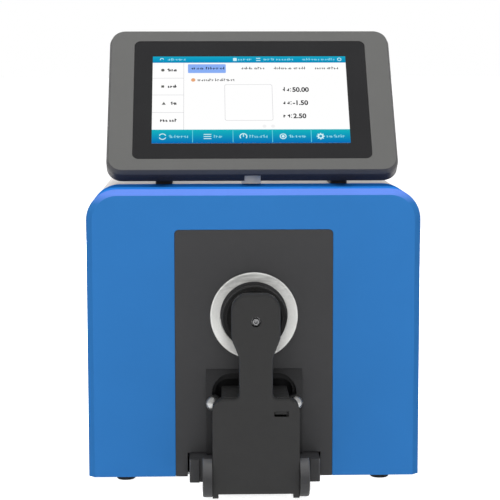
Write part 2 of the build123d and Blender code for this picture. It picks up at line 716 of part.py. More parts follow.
def hinge_carrier():
    """Cast bracket: crossbar in the panel's notch, two barrel arms, two ears, a bolted tail."""
    half = CARRIER_WIDTH / 2
    ear_front = -EAR_REACH
    bar_front = HINGE_Y + KNUCKLE_RADIUS + BAR_CLEAR
    plan = make_face(Polyline(
        (-half, CARRIER_REAR), (-half, ear_front + EAR_SLOPE), (-half + EAR_SLOPE, ear_front),
        (-half + EAR_WIDTH, ear_front), (-half + EAR_WIDTH, bar_front), (half - EAR_WIDTH, bar_front),
        (half - EAR_WIDTH, ear_front), (half - EAR_SLOPE, ear_front), (half, ear_front + EAR_SLOPE),
        (half, CARRIER_REAR), close=True))
    body = Pos(0, 0, CARRIER_BOTTOM) * extrude(plan, amount=CARRIER_TOP - CARRIER_BOTTOM)
    body += block(-half, half, CARRIER_REAR - 1, CARRIER_REAR + TAIL_LENGTH,
                  FLOOR_TOP, FLOOR_TOP + TAIL_THICK)
    arm = make_face(Polyline(
        (HINGE_Y, HINGE_Z + BARREL_RADIUS), (bar_front + 1, CARRIER_TOP), (bar_front + 1, CARRIER_BOTTOM),
        (HINGE_Y, HINGE_Z - BARREL_RADIUS), close=True))
    barrel = rod_x(BARREL_RADIUS, BARREL_INNER, BARREL_OUTER, HINGE_Y, HINGE_Z)
    barrel = chamfer(barrel.faces().sort_by(Axis.X)[-1].edges(), BARREL_EDGE)
    barrel += side_slab(arm, BARREL_INNER, BARREL_OUTER - BARREL_EDGE)
    for part in mirrored(barrel):
        body += part
    body -= rod_x(SHAFT_RADIUS, -half, half, HINGE_Y, HINGE_Z)
    for x in tail_screw_xs():
        body -= rod_z(M3_SHANK + HOLE_GAP, FLOOR_TOP - 1, FLOOR_TOP + TAIL_THICK + 1, x, TAIL_SCREW_Y)
    return body


def carrier_screws():
    screw = Rot(180, 0, 0) * pan_screw(M3_SHANK, M3_HEAD, M3_HEAD_HEIGHT, TAIL_THICK + BASE_SHEET)
    return [Pos(x, TAIL_SCREW_Y, FLOOR_TOP + TAIL_THICK) * screw for x in tail_screw_xs()]


def hinge_shaft():
    shaft = rod_x(SHAFT_RADIUS, -BARREL_OUTER, BARREL_OUTER, HINGE_Y, HINGE_Z)
    ends = shaft.edges().filter_by(GeomType.CIRCLE)
    return chamfer(ends, EDGE_BREAK)


# ---- Clamp arm ----
def arm_outline(inset=0.0, bottom=ARM_FOOT):
    """Front view of the arm: wide foot, narrow neck, flared head."""
    half, neck, head = ARM_WIDTH / 2 - inset, NECK_WIDTH / 2 - inset, HEAD_WIDTH / 2 - inset
    right = [(half, bottom), (half, SHOULDER_Z - inset), (neck, SHOULDER_Z - inset),
             (neck, FLARE_LOW), (head, FLARE_HIGH), (head, HEAD_TOP - inset)]
    radii = [ARM_TOE, SHOULDER_RADIUS - inset, NECK_FILLET + inset, FLARE_RADIUS, FLARE_RADIUS,
             HEAD_RADIUS - inset]
    left = [(-x, z) for x, z in reversed(right)]
    return outline_of(right + left, radii + radii[::-1])


def arm_plate():
    """Moulded lever: thin front skin, rim all round, knuckled side flanges and a head boss."""
    lever = slab(arm_outline(), ARM_FRONT, ARM_BACK)
    front = lever.faces().sort_by(Axis.Y)[0]
    rounded = [edge for edge in front.outer_wire().edges() if edge.center().Z > ARM_FOOT + ARM_TOE]
    lever = fillet(rounded, ARM_EDGE)
    lever -= slab(arm_outline(ARM_RIM, ARM_FOOT - 1), SKIN_BACK, ARM_BACK + 1)
    side = make_face(Polyline((ARM_FRONT, HINGE_Z), (ARM_FRONT, SHOULDER_Z), (ARM_BACK, SHOULDER_Z),
                              (HINGE_Y + CHEEK_REACH, HOUSING_BOTTOM + CHEEK_RISE),
                              (HINGE_Y + KNUCKLE_RADIUS, HINGE_Z), close=True))
    knuckle = Pos(HINGE_Y, HINGE_Z) * Circle(KNUCKLE_RADIUS)
    knuckle &= oblong(ARM_FRONT, 0, 0, SHOULDER_Z)
    silhouette = slab(arm_outline(0, 0), ARM_FRONT, 0)
    for x0 in (-ARM_WIDTH / 2, FLANGE_INNER):
        lever += side_slab(side + knuckle, x0, x0 + FLANGE_THICK) & silhouette
    lever += rod_y(BOSS_RADIUS, SKIN_BACK - 1, BOSS_END, 0, STEM_Z)
    lever += block(-RIB_THICK / 2, RIB_THICK / 2, SKIN_BACK - 1, ARM_BACK - 1,
                   SHOULDER_Z - RIB_DROP, STEM_Z - BOSS_RADIUS + 1)
    grow = HOUSING_TUCK
    half = HOUSING_WIDTH / 2 + grow
    lever -= slab(oblong(-half, half, HOUSING_BOTTOM - grow, HOUSING_TOP + grow), SKIN_BACK, ARM_BACK + 1)
    lever -= rod_y(STEM_RADIUS + RUNNING_GAP, ARM_FRONT - 1, BOSS_END + 1, 0, STEM_Z)
    lever -= rod_y(COUNTERBORE, ARM_FRONT - 1, SEAT_Y, 0, STEM_Z)
    lever -= rod_x(SHAFT_RADIUS + RUNNING_GAP, -ARM_WIDTH, ARM_WIDTH, HINGE_Y, HINGE_Z)
    x0, x1, z0, z1 = WINDOW
    lever -= slab(oblong(x0, x1, z0, z1, WINDOW_CORNER), ARM_FRONT - 1, SKIN_BACK + 1)
    return lever


def arm_rear_housing():
    """Cover behind the wide part of the arm, held by a hook in the plate's window."""
    half = HOUSING_WIDTH / 2
    shell = slab(oblong(-half, half, HOUSING_BOTTOM, HOUSING_TOP, HOUSING_CORNER),
                 SKIN_BACK + HOUSING_TUCK, HOUSING_REAR)
    shell = chamfer(shell.faces().sort_by(Axis.Y)[-1].edges(), HOUSING_EDGE)
    wall = HOUSING_WALL
    shell -= slab(oblong(wall - half, half - wall, HOUSING_BOTTOM + wall, HOUSING_TOP - wall, 1),
                  ARM_FRONT, HOUSING_REAR - wall)
    x0, x1, z0, z1 = WINDOW
    left, right, bottom = x0 + HOOK_SIDES[0], x1 - HOOK_SIDES[1], z0 + HOOK_ENDS[0]
    back = SKIN_BACK + HOOK_DEPTH
    hook = block(left, right, ARM_FRONT + HOOK_SINK, back, bottom, z1 - HOOK_ENDS[1])
    finger = block(left, right, SKIN_BACK + HOUSING_TUCK, back, bottom, HOUSING_TOP - wall / 2)
    return shell + finger + hook


def pad_holder():
    """Deep disc with a stepped, ribbed front and an offset stem that slides in the head's boss."""
    step, ridge = PAD_RADIUS - HOLDER_STEP, PAD_RADIUS - HOLDER_STEP - HOLDER_RIDGE
    shelf, floor = HOLDER_BACK + HOLDER_STEP_DEPTH, HOLDER_BACK + HOLDER_SINK
    holder = turned_y([(0, HOLDER_FACE), (PAD_RADIUS, HOLDER_FACE), (PAD_RADIUS, shelf + HOLDER_EDGE),
                       (PAD_RADIUS - HOLDER_EDGE, shelf), (step, shelf), (step, HOLDER_BACK),
                       (ridge, HOLDER_BACK), (ridge, floor), (0, floor)], 0, PAD_Z)
    rib = block(step - HOLDER_EDGE, PAD_RADIUS - HOLDER_EDGE, shelf - MARK_PROUD, shelf + HOLDER_EDGE,
                -MARK_WIDTH / 2, MARK_WIDTH / 2)
    for index in range(MARK_COUNT):
        holder += Pos(0, 0, PAD_Z) * Rot(0, index * 360 / MARK_COUNT, 0) * rib
    holder += rod_y(HUB_RADIUS, HUB_END, floor + HOLDER_EDGE, 0, STEM_Z)
    return holder + rod_y(STEM_RADIUS, SEAT_Y, HUB_END + HOLDER_EDGE, 0, STEM_Z)


def sample_pad():
    """Rubber disc that presses the sample on the port."""
    pad = rod_y(PAD_RADIUS - RUBBER_INSET, HOLDER_FACE, PAD_FACE, 0, PAD_Z)
    return chamfer(pad.faces().sort_by(Axis.Y)[-1].edges(), RUBBER_EDGE)


def pad_screw():
    """Socket screw and washer that keep the stem in the boss."""
    head_back = SEAT_Y - WASHER_THICK
    head_front = head_back - SOCKET_HEAD
    head = rod_y(M3_HEAD, head_front, head_back, 0, STEM_Z)
    head = chamfer(head.faces().sort_by(Axis.Y)[0].edges(), SOCKET_HEAD_EDGE)
    washer = rod_y(WASHER_RADIUS, head_back, SEAT_Y, 0, STEM_Z)
    socket = extrude(RegularPolygon(SOCKET_HEX, 6), amount=SOCKET_DEPTH)
    return head + washer - Pos(0, head_front, STEM_Z) * Rot(-90, 0, 0) * socket


def pad_spring():
    """Compression spring between the head's boss and the pad's hub."""
    wire = PAD_SPRING_WIRE
    length = HUB_END - BOSS_END - 2 * (wire + PAD_SPRING_SEAT)
    path = Helix(length / PAD_SPRING_TURNS, length, STEM_RADIUS + PAD_SPRING_GAP + wire)
    spring = sweep(Plane(path @ 0, z_dir=path % 0) * Circle(wire), path=path)
    return Pos(0, BOSS_END + wire + PAD_SPRING_SEAT, STEM_Z) * Rot(-90, 0, 0) * spring


def arm_spring():
    """Torsion spring on the hinge shaft: one wire with a leg over the carrier and a toe on the plate."""
    turns = ARM_SPRING_TURNS + 0.25
    length = ARM_SPRING_PITCH * turns
    helix = Helix(ARM_SPRING_PITCH, length, SHAFT_RADIUS + ARM_SPRING_GAP + ARM_SPRING_WIRE)
    leg = Line(helix @ 0 - helix % 0 * ARM_SPRING_LEG, helix @ 0)
    toe = Line(helix @ 1, helix @ 1 + helix % 1 * ARM_SPRING_TOE)
    path = Wire([leg.edge(), helix.edge(), toe.edge()])
    spring = sweep(Plane(path @ 0, z_dir=path % 0) * Circle(ARM_SPRING_WIRE), path=path)
    return Plane((-length / 2, HINGE_Y, HINGE_Z), x_dir=(0, 0, 1), z_dir=(1, 0, 0)).location * spring


# ---- Sphere, lamp and spectrometer ----
def sphere_shell():
    outer = Pos(0, SPHERE_Y, PORT_Z) * Sphere(SPHERE_RADIUS)
    return outer - Pos(0, SPHERE_Y, PORT_Z) * Sphere(SPHERE_RADIUS - SPHERE_WALL)


def equator_ring(y0, y1):
    outer = rod_y(SPHERE_RADIUS + EQUATOR_FLANGE, y0, y1, 0, PORT_Z)
    return outer - rod_y(SPHERE_RADIUS - SPHERE_WALL / 2, y0 - 1, y1 + 1, 0, PORT_Z)


def flange_screw_places():
    reach = SPHERE_RADIUS + EQUATOR_FLANGE / 2
    angles = [360 * (index + 0.5) / FLANGE_SCREWS for index in range(FLANGE_SCREWS)]
    return [(reach * cos(radians(a)), PORT_Z + reach * sin(radians(a))) for a in angles]


def pierce_flange(part):
    for x, z in flange_screw_places():
        part -= rod_y(M3_SHANK + HOLE_GAP, SPHERE_Y - 20, SPHERE_Y + 20, x, z)
    return part


def sphere_front():
    """Front half of the integrating sphere with its port tube."""
    big = 2 * SPHERE_RADIUS
    half = sphere_shell() & block(-big, big, -big, SPHERE_Y, -big, 2 * big)
    half += equator_ring(SPHERE_Y - EQUATOR_THICK, SPHERE_Y)
    reach = PORT_FRONT + PORT_TUBE_SUNK
    tube = rod_y(PORT_TUBE + PORT_TUBE_WALL, PORT_FRONT, reach, 0, PORT_Z)
    inside = Pos(0, SPHERE_Y, PORT_Z) * Sphere(SPHERE_RADIUS - SPHERE_WALL)
    half += tube - inside
    half += rod_y(PORT_FLANGE, PORT_FRONT, PORT_FRONT + PORT_FLANGE_THICK, 0, PORT_Z)
    half -= rod_y(PORT_TUBE, PORT_FRONT - 1, reach + 10, 0, PORT_Z)
    return pierce_flange(half)


def lamp_place():
    """Frame at the sphere's centre with +X towards the lamp."""
    return Pos(0, SPHERE_Y, PORT_Z) * Rot(0, 0, LAMP_ANGLE)


def view_place():
    """Frame at the viewing port with +Y along the tube."""
    central = radians(2 * VIEW_ANGLE)
    return (Pos(-SPHERE_RADIUS * sin(central), SPHERE_Y + SPHERE_RADIUS * cos(central), PORT_Z)
            * Rot(0, 0, VIEW_ANGLE))


def sphere_rear():
    """Rear half of the integrating sphere with the lamp and viewing holes."""
    big = 2 * SPHERE_RADIUS
    half = sphere_shell() & block(-big, big, SPHERE_Y, 2 * big, -big, 2 * big)
    half += equator_ring(SPHERE_Y, SPHERE_Y + EQUATOR_THICK)
    half -= lamp_place() * rod_x(LAMP_TUBE + HOLE_GAP, 0, SPHERE_RADIUS + 10)
    half -= view_place() * rod_y(VIEW_TUBE + HOLE_GAP, -12, 12)
    return pierce_flange(half)


def flange_screws():
    screw = pan_screw(M3_SHANK, M3_HEAD, M3_HEAD_HEIGHT, 2 * EQUATOR_THICK + STAND_THICK)
    return [Pos(x, SPHERE_Y - EQUATOR_THICK, z) * Rot(-90, 0, 0) * screw for x, z in flange_screw_places()]


def sphere_stand():
    """Upright plate with a round cradle, on a bent foot."""
    half = STAND_WIDTH / 2
    plate = slab(outline_of([(-half, FLOOR_TOP), (half, FLOOR_TOP), (half, STAND_TOP), (-half, STAND_TOP)],
                            [0, 0, STAND_CORNER, STAND_CORNER]), STAND_Y, STAND_Y + STAND_THICK)
    plate += block(-half, half, STAND_Y, STAND_Y + STAND_FOOT, FLOOR_TOP, FLOOR_TOP + STAND_THICK)
    plate -= rod_y(SPHERE_RADIUS + CRADLE_GAP, STAND_Y - 1, STAND_Y + STAND_FOOT + 1, 0, PORT_Z)
    return pierce_flange(plate)


def lamp_housing():
    """Lamp can on the sphere's flank, with the light tube in front."""
    length, width, height = LAMP_BOX
    start = SPHERE_RADIUS + LAMP_STANDOFF
    can = Pos(start + length / 2, 0, 0) * fillet(Box(length, width, height).edges(), LAMP_EDGE)
    tube = rod_x(LAMP_TUBE, SPHERE_RADIUS - SPHERE_WALL, start + LAMP_EDGE)
    bore = rod_x(LAMP_TUBE - LAMP_WALL, SPHERE_RADIUS - 2 * SPHERE_WALL, start + length - LAMP_BACK)
    return lamp_place() * (can + tube - bore)


def flash_lamp():
    """Glass flash tube inside the lamp can."""
    reach = SPHERE_RADIUS + LAMP_STANDOFF + LAMP_BOX[0] / 2
    return lamp_place() * (Pos(reach, 0, 0) * Cylinder(LAMP_RADIUS, 2 * (LAMP_TUBE - LAMP_END)))


def detector_tube():
    tube = rod_y(VIEW_TUBE, -VIEW_SUNK, VIEW_LENGTH - VIEW_SUNK)
    tube -= rod_y(VIEW_TUBE - VIEW_WALL, -VIEW_LENGTH, VIEW_LENGTH)
    return view_place() * tube


def detector_lens():
    """Biconvex lens in the detector tube."""
    offset = LENS_CURVE - LENS_THICK / 2
    lens = Pos(0, offset, 0) * Sphere(LENS_CURVE) & Pos(0, -offset, 0) * Sphere(LENS_CURVE)
    lens &= rod_y(VIEW_TUBE - VIEW_WALL - HOLE_GAP, -LENS_THICK, LENS_THICK)
    return view_place() * (Pos(0, VIEW_LENGTH / 3, 0) * lens)


def spectro_box():
    """Corners of the spectrometer: x0, x1, y0, y1, z0, z1."""
    width, depth, height = SPECTRO_SIZE
    return (SPECTRO_CENTRE_X - width / 2, SPECTRO_CENTRE_X + width / 2, SPECTRO_Y, SPECTRO_Y + depth,
            PORT_Z - height / 2, PORT_Z + height / 2)


def spectrometer():
    """Closed optical block with a lid and an entry hole for the detector tube."""
    x0, x1, y0, y1, z0, z1 = spectro_box()
    case = fillet(block(x0, x1, y0, y1, z0, z1 - LID_THICK).edges().filter_by(Axis.Z), SPECTRO_CORNER)
    lid = block(x0 - LID_LIP, x1 + LID_LIP, y0 - LID_LIP, y1 + LID_LIP, z1 - LID_THICK, z1)
    return case + fillet(lid.edges().filter_by(Axis.Z), SPECTRO_CORNER + LID_LIP)


def spectrometer_table():
    """Bent sheet table that carries the spectrometer over the main board."""
    x0, x1, y0, y1, z0, _ = spectro_box()
    sheet, toe = TABLE_SHEET, TABLE_TOE
    profile = make_face(Polyline(
        (x0 - toe, FLOOR_TOP), (x0 + sheet, FLOOR_TOP), (x0 + sheet, z0 - sheet), (x1 - sheet, z0 - sheet),
        (x1 - sheet, FLOOR_TOP), (x1 + toe, FLOOR_TOP), (x1 + toe, FLOOR_TOP + sheet),
        (x1, FLOOR_TOP + sheet), (x1, z0), (x0, z0), (x0, FLOOR_TOP + sheet),
        (x0 - toe, FLOOR_TOP + sheet), close=True))
    return slab(profile, y0 + TABLE_INSET, y1 - TABLE_INSET)


def board_corner():
    """Front left corner of the board, whose rear edge keeps clear of the rear panel."""
    return (SPECTRO_CENTRE_X - BOARD_SIZE[0] / 2, PANEL_INSIDE - BOARD_REAR - BOARD_SIZE[1],
            FLOOR_TOP + STANDOFF_HEIGHT)


def standoff_places():
    x0, y0, _ = board_corner()
    edge = BOARD_EDGE
    return [(x, y) for x in (x0 + edge, x0 + BOARD_SIZE[0] - edge)
            for y in (y0 + edge, y0 + BOARD_SIZE[1] - edge)]


def main_board():
    """Circuit board with its larger chips and a header."""
    x0, y0, z0 = board_corner()
    width, depth, thick = BOARD_SIZE
    board = block(x0, x0 + width, y0, y0 + depth, z0, z0 + thick)
    for x, y in standoff_places():
        board -= rod_z(M3_SHANK, z0 - 1, z0 + thick + 1, x, y)
    top = z0 + thick
    for left, front, wide, deep, high in BOARD_PARTS:
        board += block(x0 + left, x0 + left + wide, y0 + front, y0 + front + deep, top, top + high)
    return board


def board_standoffs():
    posts = []
    for x, y in standoff_places():
        post = Pos(x, y, FLOOR_TOP) * extrude(RegularPolygon(STANDOFF_RADIUS, 6), amount=STANDOFF_HEIGHT)
        tip = FLOOR_TOP + STANDOFF_HEIGHT + STANDOFF_STUD
        stud = rod_z(M3_SHANK - HOLE_GAP / 2, FLOOR_TOP + 1, tip, x, y)
        posts.append(post + stud)
    return posts


def capacitor_place():
    """Centre of the capacitor, beside the toe of the spectrometer's table."""
    table_end = SPECTRO_CENTRE_X + SPECTRO_SIZE[0] / 2 + TABLE_TOE
    return table_end + CAPACITOR_GAP + CLIP_MARGIN + CAPACITOR_RADIUS, SPECTRO_Y + CAPACITOR_BACK


def flash_capacitor():
    """Lamp capacitor standing in its clip."""
    x, y = capacitor_place()
    foot_z = FLOOR_TOP + CLIP_BASE
    can = rod_z(CAPACITOR_RADIUS, foot_z, foot_z + CAPACITOR_LENGTH, x, y)
    return fillet(can.faces().sort_by(Axis.Z)[-1].edges(), CAPACITOR_RADIUS / 10)


def capacitor_clip():
    """Square foot with a round wall that grips the capacitor."""
    x, y = capacitor_place()
    wide = CAPACITOR_RADIUS + CLIP_MARGIN
    foot_z = FLOOR_TOP + CLIP_BASE
    clip = block(x - wide, x + wide, y - wide, y + wide, FLOOR_TOP, foot_z)
    clip += rod_z(CAPACITOR_RADIUS + CLIP_WALL, FLOOR_TOP, FLOOR_TOP + CLIP_HEIGHT, x, y)
    return clip - rod_z(CAPACITOR_RADIUS + HOLE_GAP, foot_z, FLOOR_TOP + 2 * CLIP_HEIGHT, x, y)


# ---- Rear fittings ----
def switch_frame():
    """Flanged can of the power switch."""
    half_w, half_h = SWITCH_WIDTH / 2, SWITCH_HEIGHT / 2
    rim = slab(oblong(-half_w, half_w, -half_h, half_h, SWITCH_CORNER), REAR_FACE, REAR_FACE + SWITCH_FLANGE)
    in_w, in_h = half_w - SWITCH_FLANGE, half_h - SWITCH_FLANGE
    can = slab(oblong(-in_w, in_w, -in_h, in_h), REAR_FACE - SWITCH_DEPTH, REAR_FACE + OVERLAP)
    hole_w, hole_h = ROCKER_WIDTH / 2 + ROCKER_GAP, ROCKER_LENGTH / 2 + ROCKER_GAP
    hole = oblong(-hole_w, hole_w, -hole_h, hole_h)
    frame = rim + can - slab(hole, REAR_FACE - SWITCH_DEPTH + SWITCH_FLOOR, REAR_FACE + SWITCH_DEPTH)
    frame -= rod_x(ROCKER_PIN + RUNNING_GAP, -half_w + SWITCH_SIDE, half_w - SWITCH_SIDE, ROCKER_AXIS_Y, 0)
    return Pos(SWITCH_X, 0, SWITCH_Z) * frame


def power_rocker():
    """Rocker key, stored with its lower half pressed in."""
    half = ROCKER_LENGTH / 2
    skirt = half - ROCKER_SKIRT / 2
    side = outline_of([(-ROCKER_SKIRT, -skirt), (ROCKER_EDGE, -half), (ROCKER_CROWN, 0), (ROCKER_EDGE, half),
                       (-ROCKER_SKIRT, skirt)],
                      [ROCKER_FOOT, EDGE_BREAK, 2 * ROCKER_CROWN, EDGE_BREAK, ROCKER_FOOT])
    key = side_slab(side, -ROCKER_WIDTH / 2, ROCKER_WIDTH / 2)
    key += rod_x(ROCKER_PIN, -ROCKER_WIDTH / 2 - ROCKER_PIN_PROUD, ROCKER_WIDTH / 2 + ROCKER_PIN_PROUD)
    return Pos(SWITCH_X, ROCKER_AXIS_Y, SWITCH_Z) * Rot(-ROCKER_TILT, 0, 0) * key


def power_inlet():
    """Round low-voltage inlet with its nut and centre pin."""
    front, back = REAR_FACE - INLET_DEPTH, REAR_FACE + INLET_PROUD
    body = rod_y(INLET_NUT - INLET_WALL, front, back, INLET_X, SWITCH_Z)
    nut = Pos(INLET_X, SWITCH_Z) * RegularPolygon(INLET_NUT, 6)
    body += slab(nut, REAR_FACE, REAR_FACE + INLET_NUT_THICK)
    body -= rod_y(INLET_BORE, REAR_FACE - INLET_BORE_DEPTH, back + 1, INLET_X, SWITCH_Z)
    return body + rod_y(INLET_PIN, REAR_FACE - INLET_BORE_DEPTH - 1, REAR_FACE + 1, INLET_X, SWITCH_Z)


def usb_port():
    """Square data socket with its tongue."""
    half_w, half_h = USB_SIZE[0] / 2, USB_SIZE[1] / 2
    shell = block(-half_w, half_w, REAR_FACE - USB_DEPTH, REAR_FACE + USB_PROUD, -half_h, half_h)
    shell -= block(USB_WALL - half_w, half_w - USB_WALL, REAR_FACE - USB_DEPTH + USB_FLOOR, REAR_FACE + 1,
                   USB_WALL - half_h, half_h - USB_WALL)
    tongue_w, tongue_h = USB_TONGUE[0] / 2, USB_TONGUE[1] / 2
    shell += block(-tongue_w, tongue_w, REAR_FACE - USB_DEPTH + 2, REAR_FACE - 1, -tongue_h, tongue_h)
    return Pos(USB_X, 0, SWITCH_Z) * shell


# ---- Screen ----
def screen_outline(inset=0.0):
    return Pos(0, SCREEN_HEIGHT / 2) * RectangleRounded(
        SCREEN_WIDTH - 2 * inset, SCREEN_HEIGHT - 2 * inset, SCREEN_CORNER - inset)


def centred(width, height, radius=0):
    """Outline centred on the screen's face."""
    shape = RectangleRounded(width, height, radius) if radius else Rectangle(width, height)
    return Pos(0, SCREEN_HEIGHT / 2) * shape


def screen_frame():
    """Front frame with flared sides and a sunk seat for the glass."""
    flare = degrees(atan(SCREEN_FLARE / SCREEN_BEVEL))
    frame = slab(screen_outline(-SCREEN_FLARE), SCREEN_BEVEL, FRAME_THICK)
    frame += slab(screen_outline(-SCREEN_FLARE), 0, SCREEN_BEVEL, flare)
    frame = fillet(frame.faces().sort_by(Axis.Y)[0].outer_wire().edges(), SCREEN_EDGE)
    frame -= slab(centred(GLASS_WIDTH, GLASS_HEIGHT, GLASS_CORNER), -1, GLASS_THICK + GLASS_GAP)
    frame -= slab(centred(LCD_WIDTH + 2, LCD_HEIGHT + 2), 0, FRAME_THICK + 1)
    frame -= slab(screen_outline(FRAME_WALL), FRAME_FACE, FRAME_THICK + 1)
    frame -= block(-CABLE_NOTCH / 2, CABLE_NOTCH / 2, CABLE_NOTCH_FRONT, FRAME_THICK + 1,
                   -SCREEN_FLARE - 1, CABLE_NOTCH_HEIGHT)
    return SCREEN_PLACE * frame


def touch_glass():
    outline = centred(GLASS_WIDTH - 2 * GLASS_GAP, GLASS_HEIGHT - 2 * GLASS_GAP, GLASS_CORNER - GLASS_GAP)
    return SCREEN_PLACE * slab(outline, GLASS_GAP, GLASS_GAP + GLASS_THICK)


def lcd_module():
    front = GLASS_GAP + GLASS_THICK
    return SCREEN_PLACE * slab(centred(LCD_WIDTH, LCD_HEIGHT, 1), front, front + LCD_THICK)


def screen_back():
    """Rear shell: shallow tray, tapered hump, cable notch and hinge lugs."""
    rear = SCREEN_REAR
    tray = slab(screen_outline(-SCREEN_FLARE), FRAME_THICK, rear)
    tray = chamfer(tray.faces().sort_by(Axis.Y)[-1].outer_wire().edges(), BACK_EDGE)
    base = Plane.XZ.offset(-rear + OVERLAP)
    hump = extrude(base * centred(BULGE_WIDTH, BULGE_HEIGHT, BULGE_CORNER),
                   amount=-BULGE_DEPTH - OVERLAP, taper=BULGE_TAPER)
    shell = tray + hump
    shell -= slab(screen_outline(FRAME_WALL), FRAME_THICK - 1, rear - BACK_WALL)
    shrink = 2 * (BACK_WALL + BULGE_DEPTH * tan(radians(BULGE_TAPER)))
    shell -= slab(centred(BULGE_WIDTH - shrink, BULGE_HEIGHT - shrink, BULGE_INSIDE), rear - BACK_WALL - 1,
                  HUMP_REAR - BACK_WALL)
    half_notch = CABLE_NOTCH / 2
    shell += block(-half_notch - 2, half_notch + 2, FRAME_THICK, rear - 1, 1, CABLE_NOTCH_HEIGHT + 2)
    shell -= block(-half_notch, half_notch, FRAME_THICK - 1, rear + 1, -SCREEN_FLARE - 1, CABLE_NOTCH_HEIGHT)
    vent = RectangleRounded(SCREEN_VENT_WIDTH, SCREEN_VENT_LENGTH, SCREEN_VENT_WIDTH * 0.49)
    for index in range(SCREEN_VENTS):
        x = (index - (SCREEN_VENTS - 1) / 2) * SCREEN_VENT_PITCH
        shell -= slab(Pos(x, SCREEN_HEIGHT / 2 + SCREEN_VENT_RISE) * vent, rear, HUMP_REAR + 1)
    ear = Pos(AXIS_BACK, AXIS_UP) * Circle(LUG_RADIUS)
    ear += oblong(HUMP_REAR - 2, AXIS_BACK, AXIS_UP - LUG_RADIUS, AXIS_UP + LUG_RADIUS)
    inner = EAR_THICK / 2 + LUG_CLEAR
    for centre in (-BRACKET_X, BRACKET_X):
        for x0 in (centre - inner - LUG_SIDE, centre + inner):
            shell += side_slab(ear, x0, x0 + LUG_SIDE)
        shell -= rod_x(PIN_RADIUS, centre - 20, centre + 20, AXIS_BACK, AXIS_UP)
    return SCREEN_PLACE * shell


def screen_board():
    """Circuit board on four posts inside the hump."""
    width, height, thick = SCREEN_BOARD
    rear = HUMP_REAR - BACK_WALL
    face = rear - SCREEN_BOARD_GAP - thick
    middle = SCREEN_HEIGHT / 2
    board = slab(centred(width, height), face, face + thick)
    chip, chip_height = SCREEN_CHIP
    for x, z in SCREEN_CHIP_PLACES:
        board += slab(Pos(x, middle + z) * Rectangle(chip, chip), face - chip_height, face)
    for x in (SCREEN_BOARD_EDGE - width / 2, width / 2 - SCREEN_BOARD_EDGE):
        for z in (SCREEN_BOARD_EDGE - height / 2, height / 2 - SCREEN_BOARD_EDGE):
            board += rod_y(SCREEN_POST, face + thick / 2, rear, x, middle + z)
    return SCREEN_PLACE * board


def tilt_bracket(side):
    """Foot and ear that carry one side of the screen."""
    x = side * BRACKET_X
    base_top = COVER_TOP + BRACKET_BASE
    foot_plate = block(x - BRACKET_WIDTH / 2, x + BRACKET_WIDTH / 2,
                       BRACKET_FRONT, BRACKET_FRONT + BRACKET_LENGTH, COVER_TOP, base_top)
    foot_plate = fillet(foot_plate.edges().filter_by(Axis.Z), BRACKET_CORNER)
    ear = make_face(Polyline((AXIS_Y - EAR_RADIUS, AXIS_Z), (AXIS_Y + EAR_RADIUS, AXIS_Z),
                             (AXIS_Y + EAR_RADIUS + EAR_TOE, base_top - OVERLAP),
                             (AXIS_Y - EAR_RADIUS - EAR_HEEL, base_top - OVERLAP), close=True))
    ear += Pos(AXIS_Y, AXIS_Z) * Circle(EAR_RADIUS)
    bracket = foot_plate + side_slab(ear, x - EAR_THICK / 2, x + EAR_THICK / 2)
    bracket -= rod_x(PIN_RADIUS + RUNNING_GAP, x - BRACKET_WIDTH, x + BRACKET_WIDTH, AXIS_Y, AXIS_Z)
    return bracket - rod_z(M3_SHANK + HOLE_GAP, COVER_TOP - 1, base_top + 1, x, bracket_screw_y())


def bracket_screw_y():
    return BRACKET_FRONT + BRACKET_LENGTH - BRACKET_SCREW_EDGE


def bracket_screws():
    """Pan-head screws that hold the brackets on the cover."""
    screw = Rot(180, 0, 0) * pan_screw(M3_SHANK, M3_HEAD, M3_HEAD_HEIGHT, BRACKET_BASE)
    return [Pos(x, bracket_screw_y(), COVER_TOP + BRACKET_BASE) * screw for x in (-BRACKET_X, BRACKET_X)]


def tilt_pins():
    """Headed pins through the lugs and ears of the screen hinge."""
    reach = EAR_THICK / 2 + LUG_CLEAR + LUG_SIDE
    pins = []
    for side in (-1, 1):
        outer = side * (BRACKET_X + reach)
        x0, x1 = sorted((side * (BRACKET_X - reach), outer))
        pin = rod_x(PIN_RADIUS, x0, x1, AXIS_Y, AXIS_Z)
        h0, h1 = sorted((outer, outer + side * PIN_HEAD_THICK))
        pins.append(pin + rod_x(PIN_HEAD, h0, h1, AXIS_Y, AXIS_Z))
    return pins


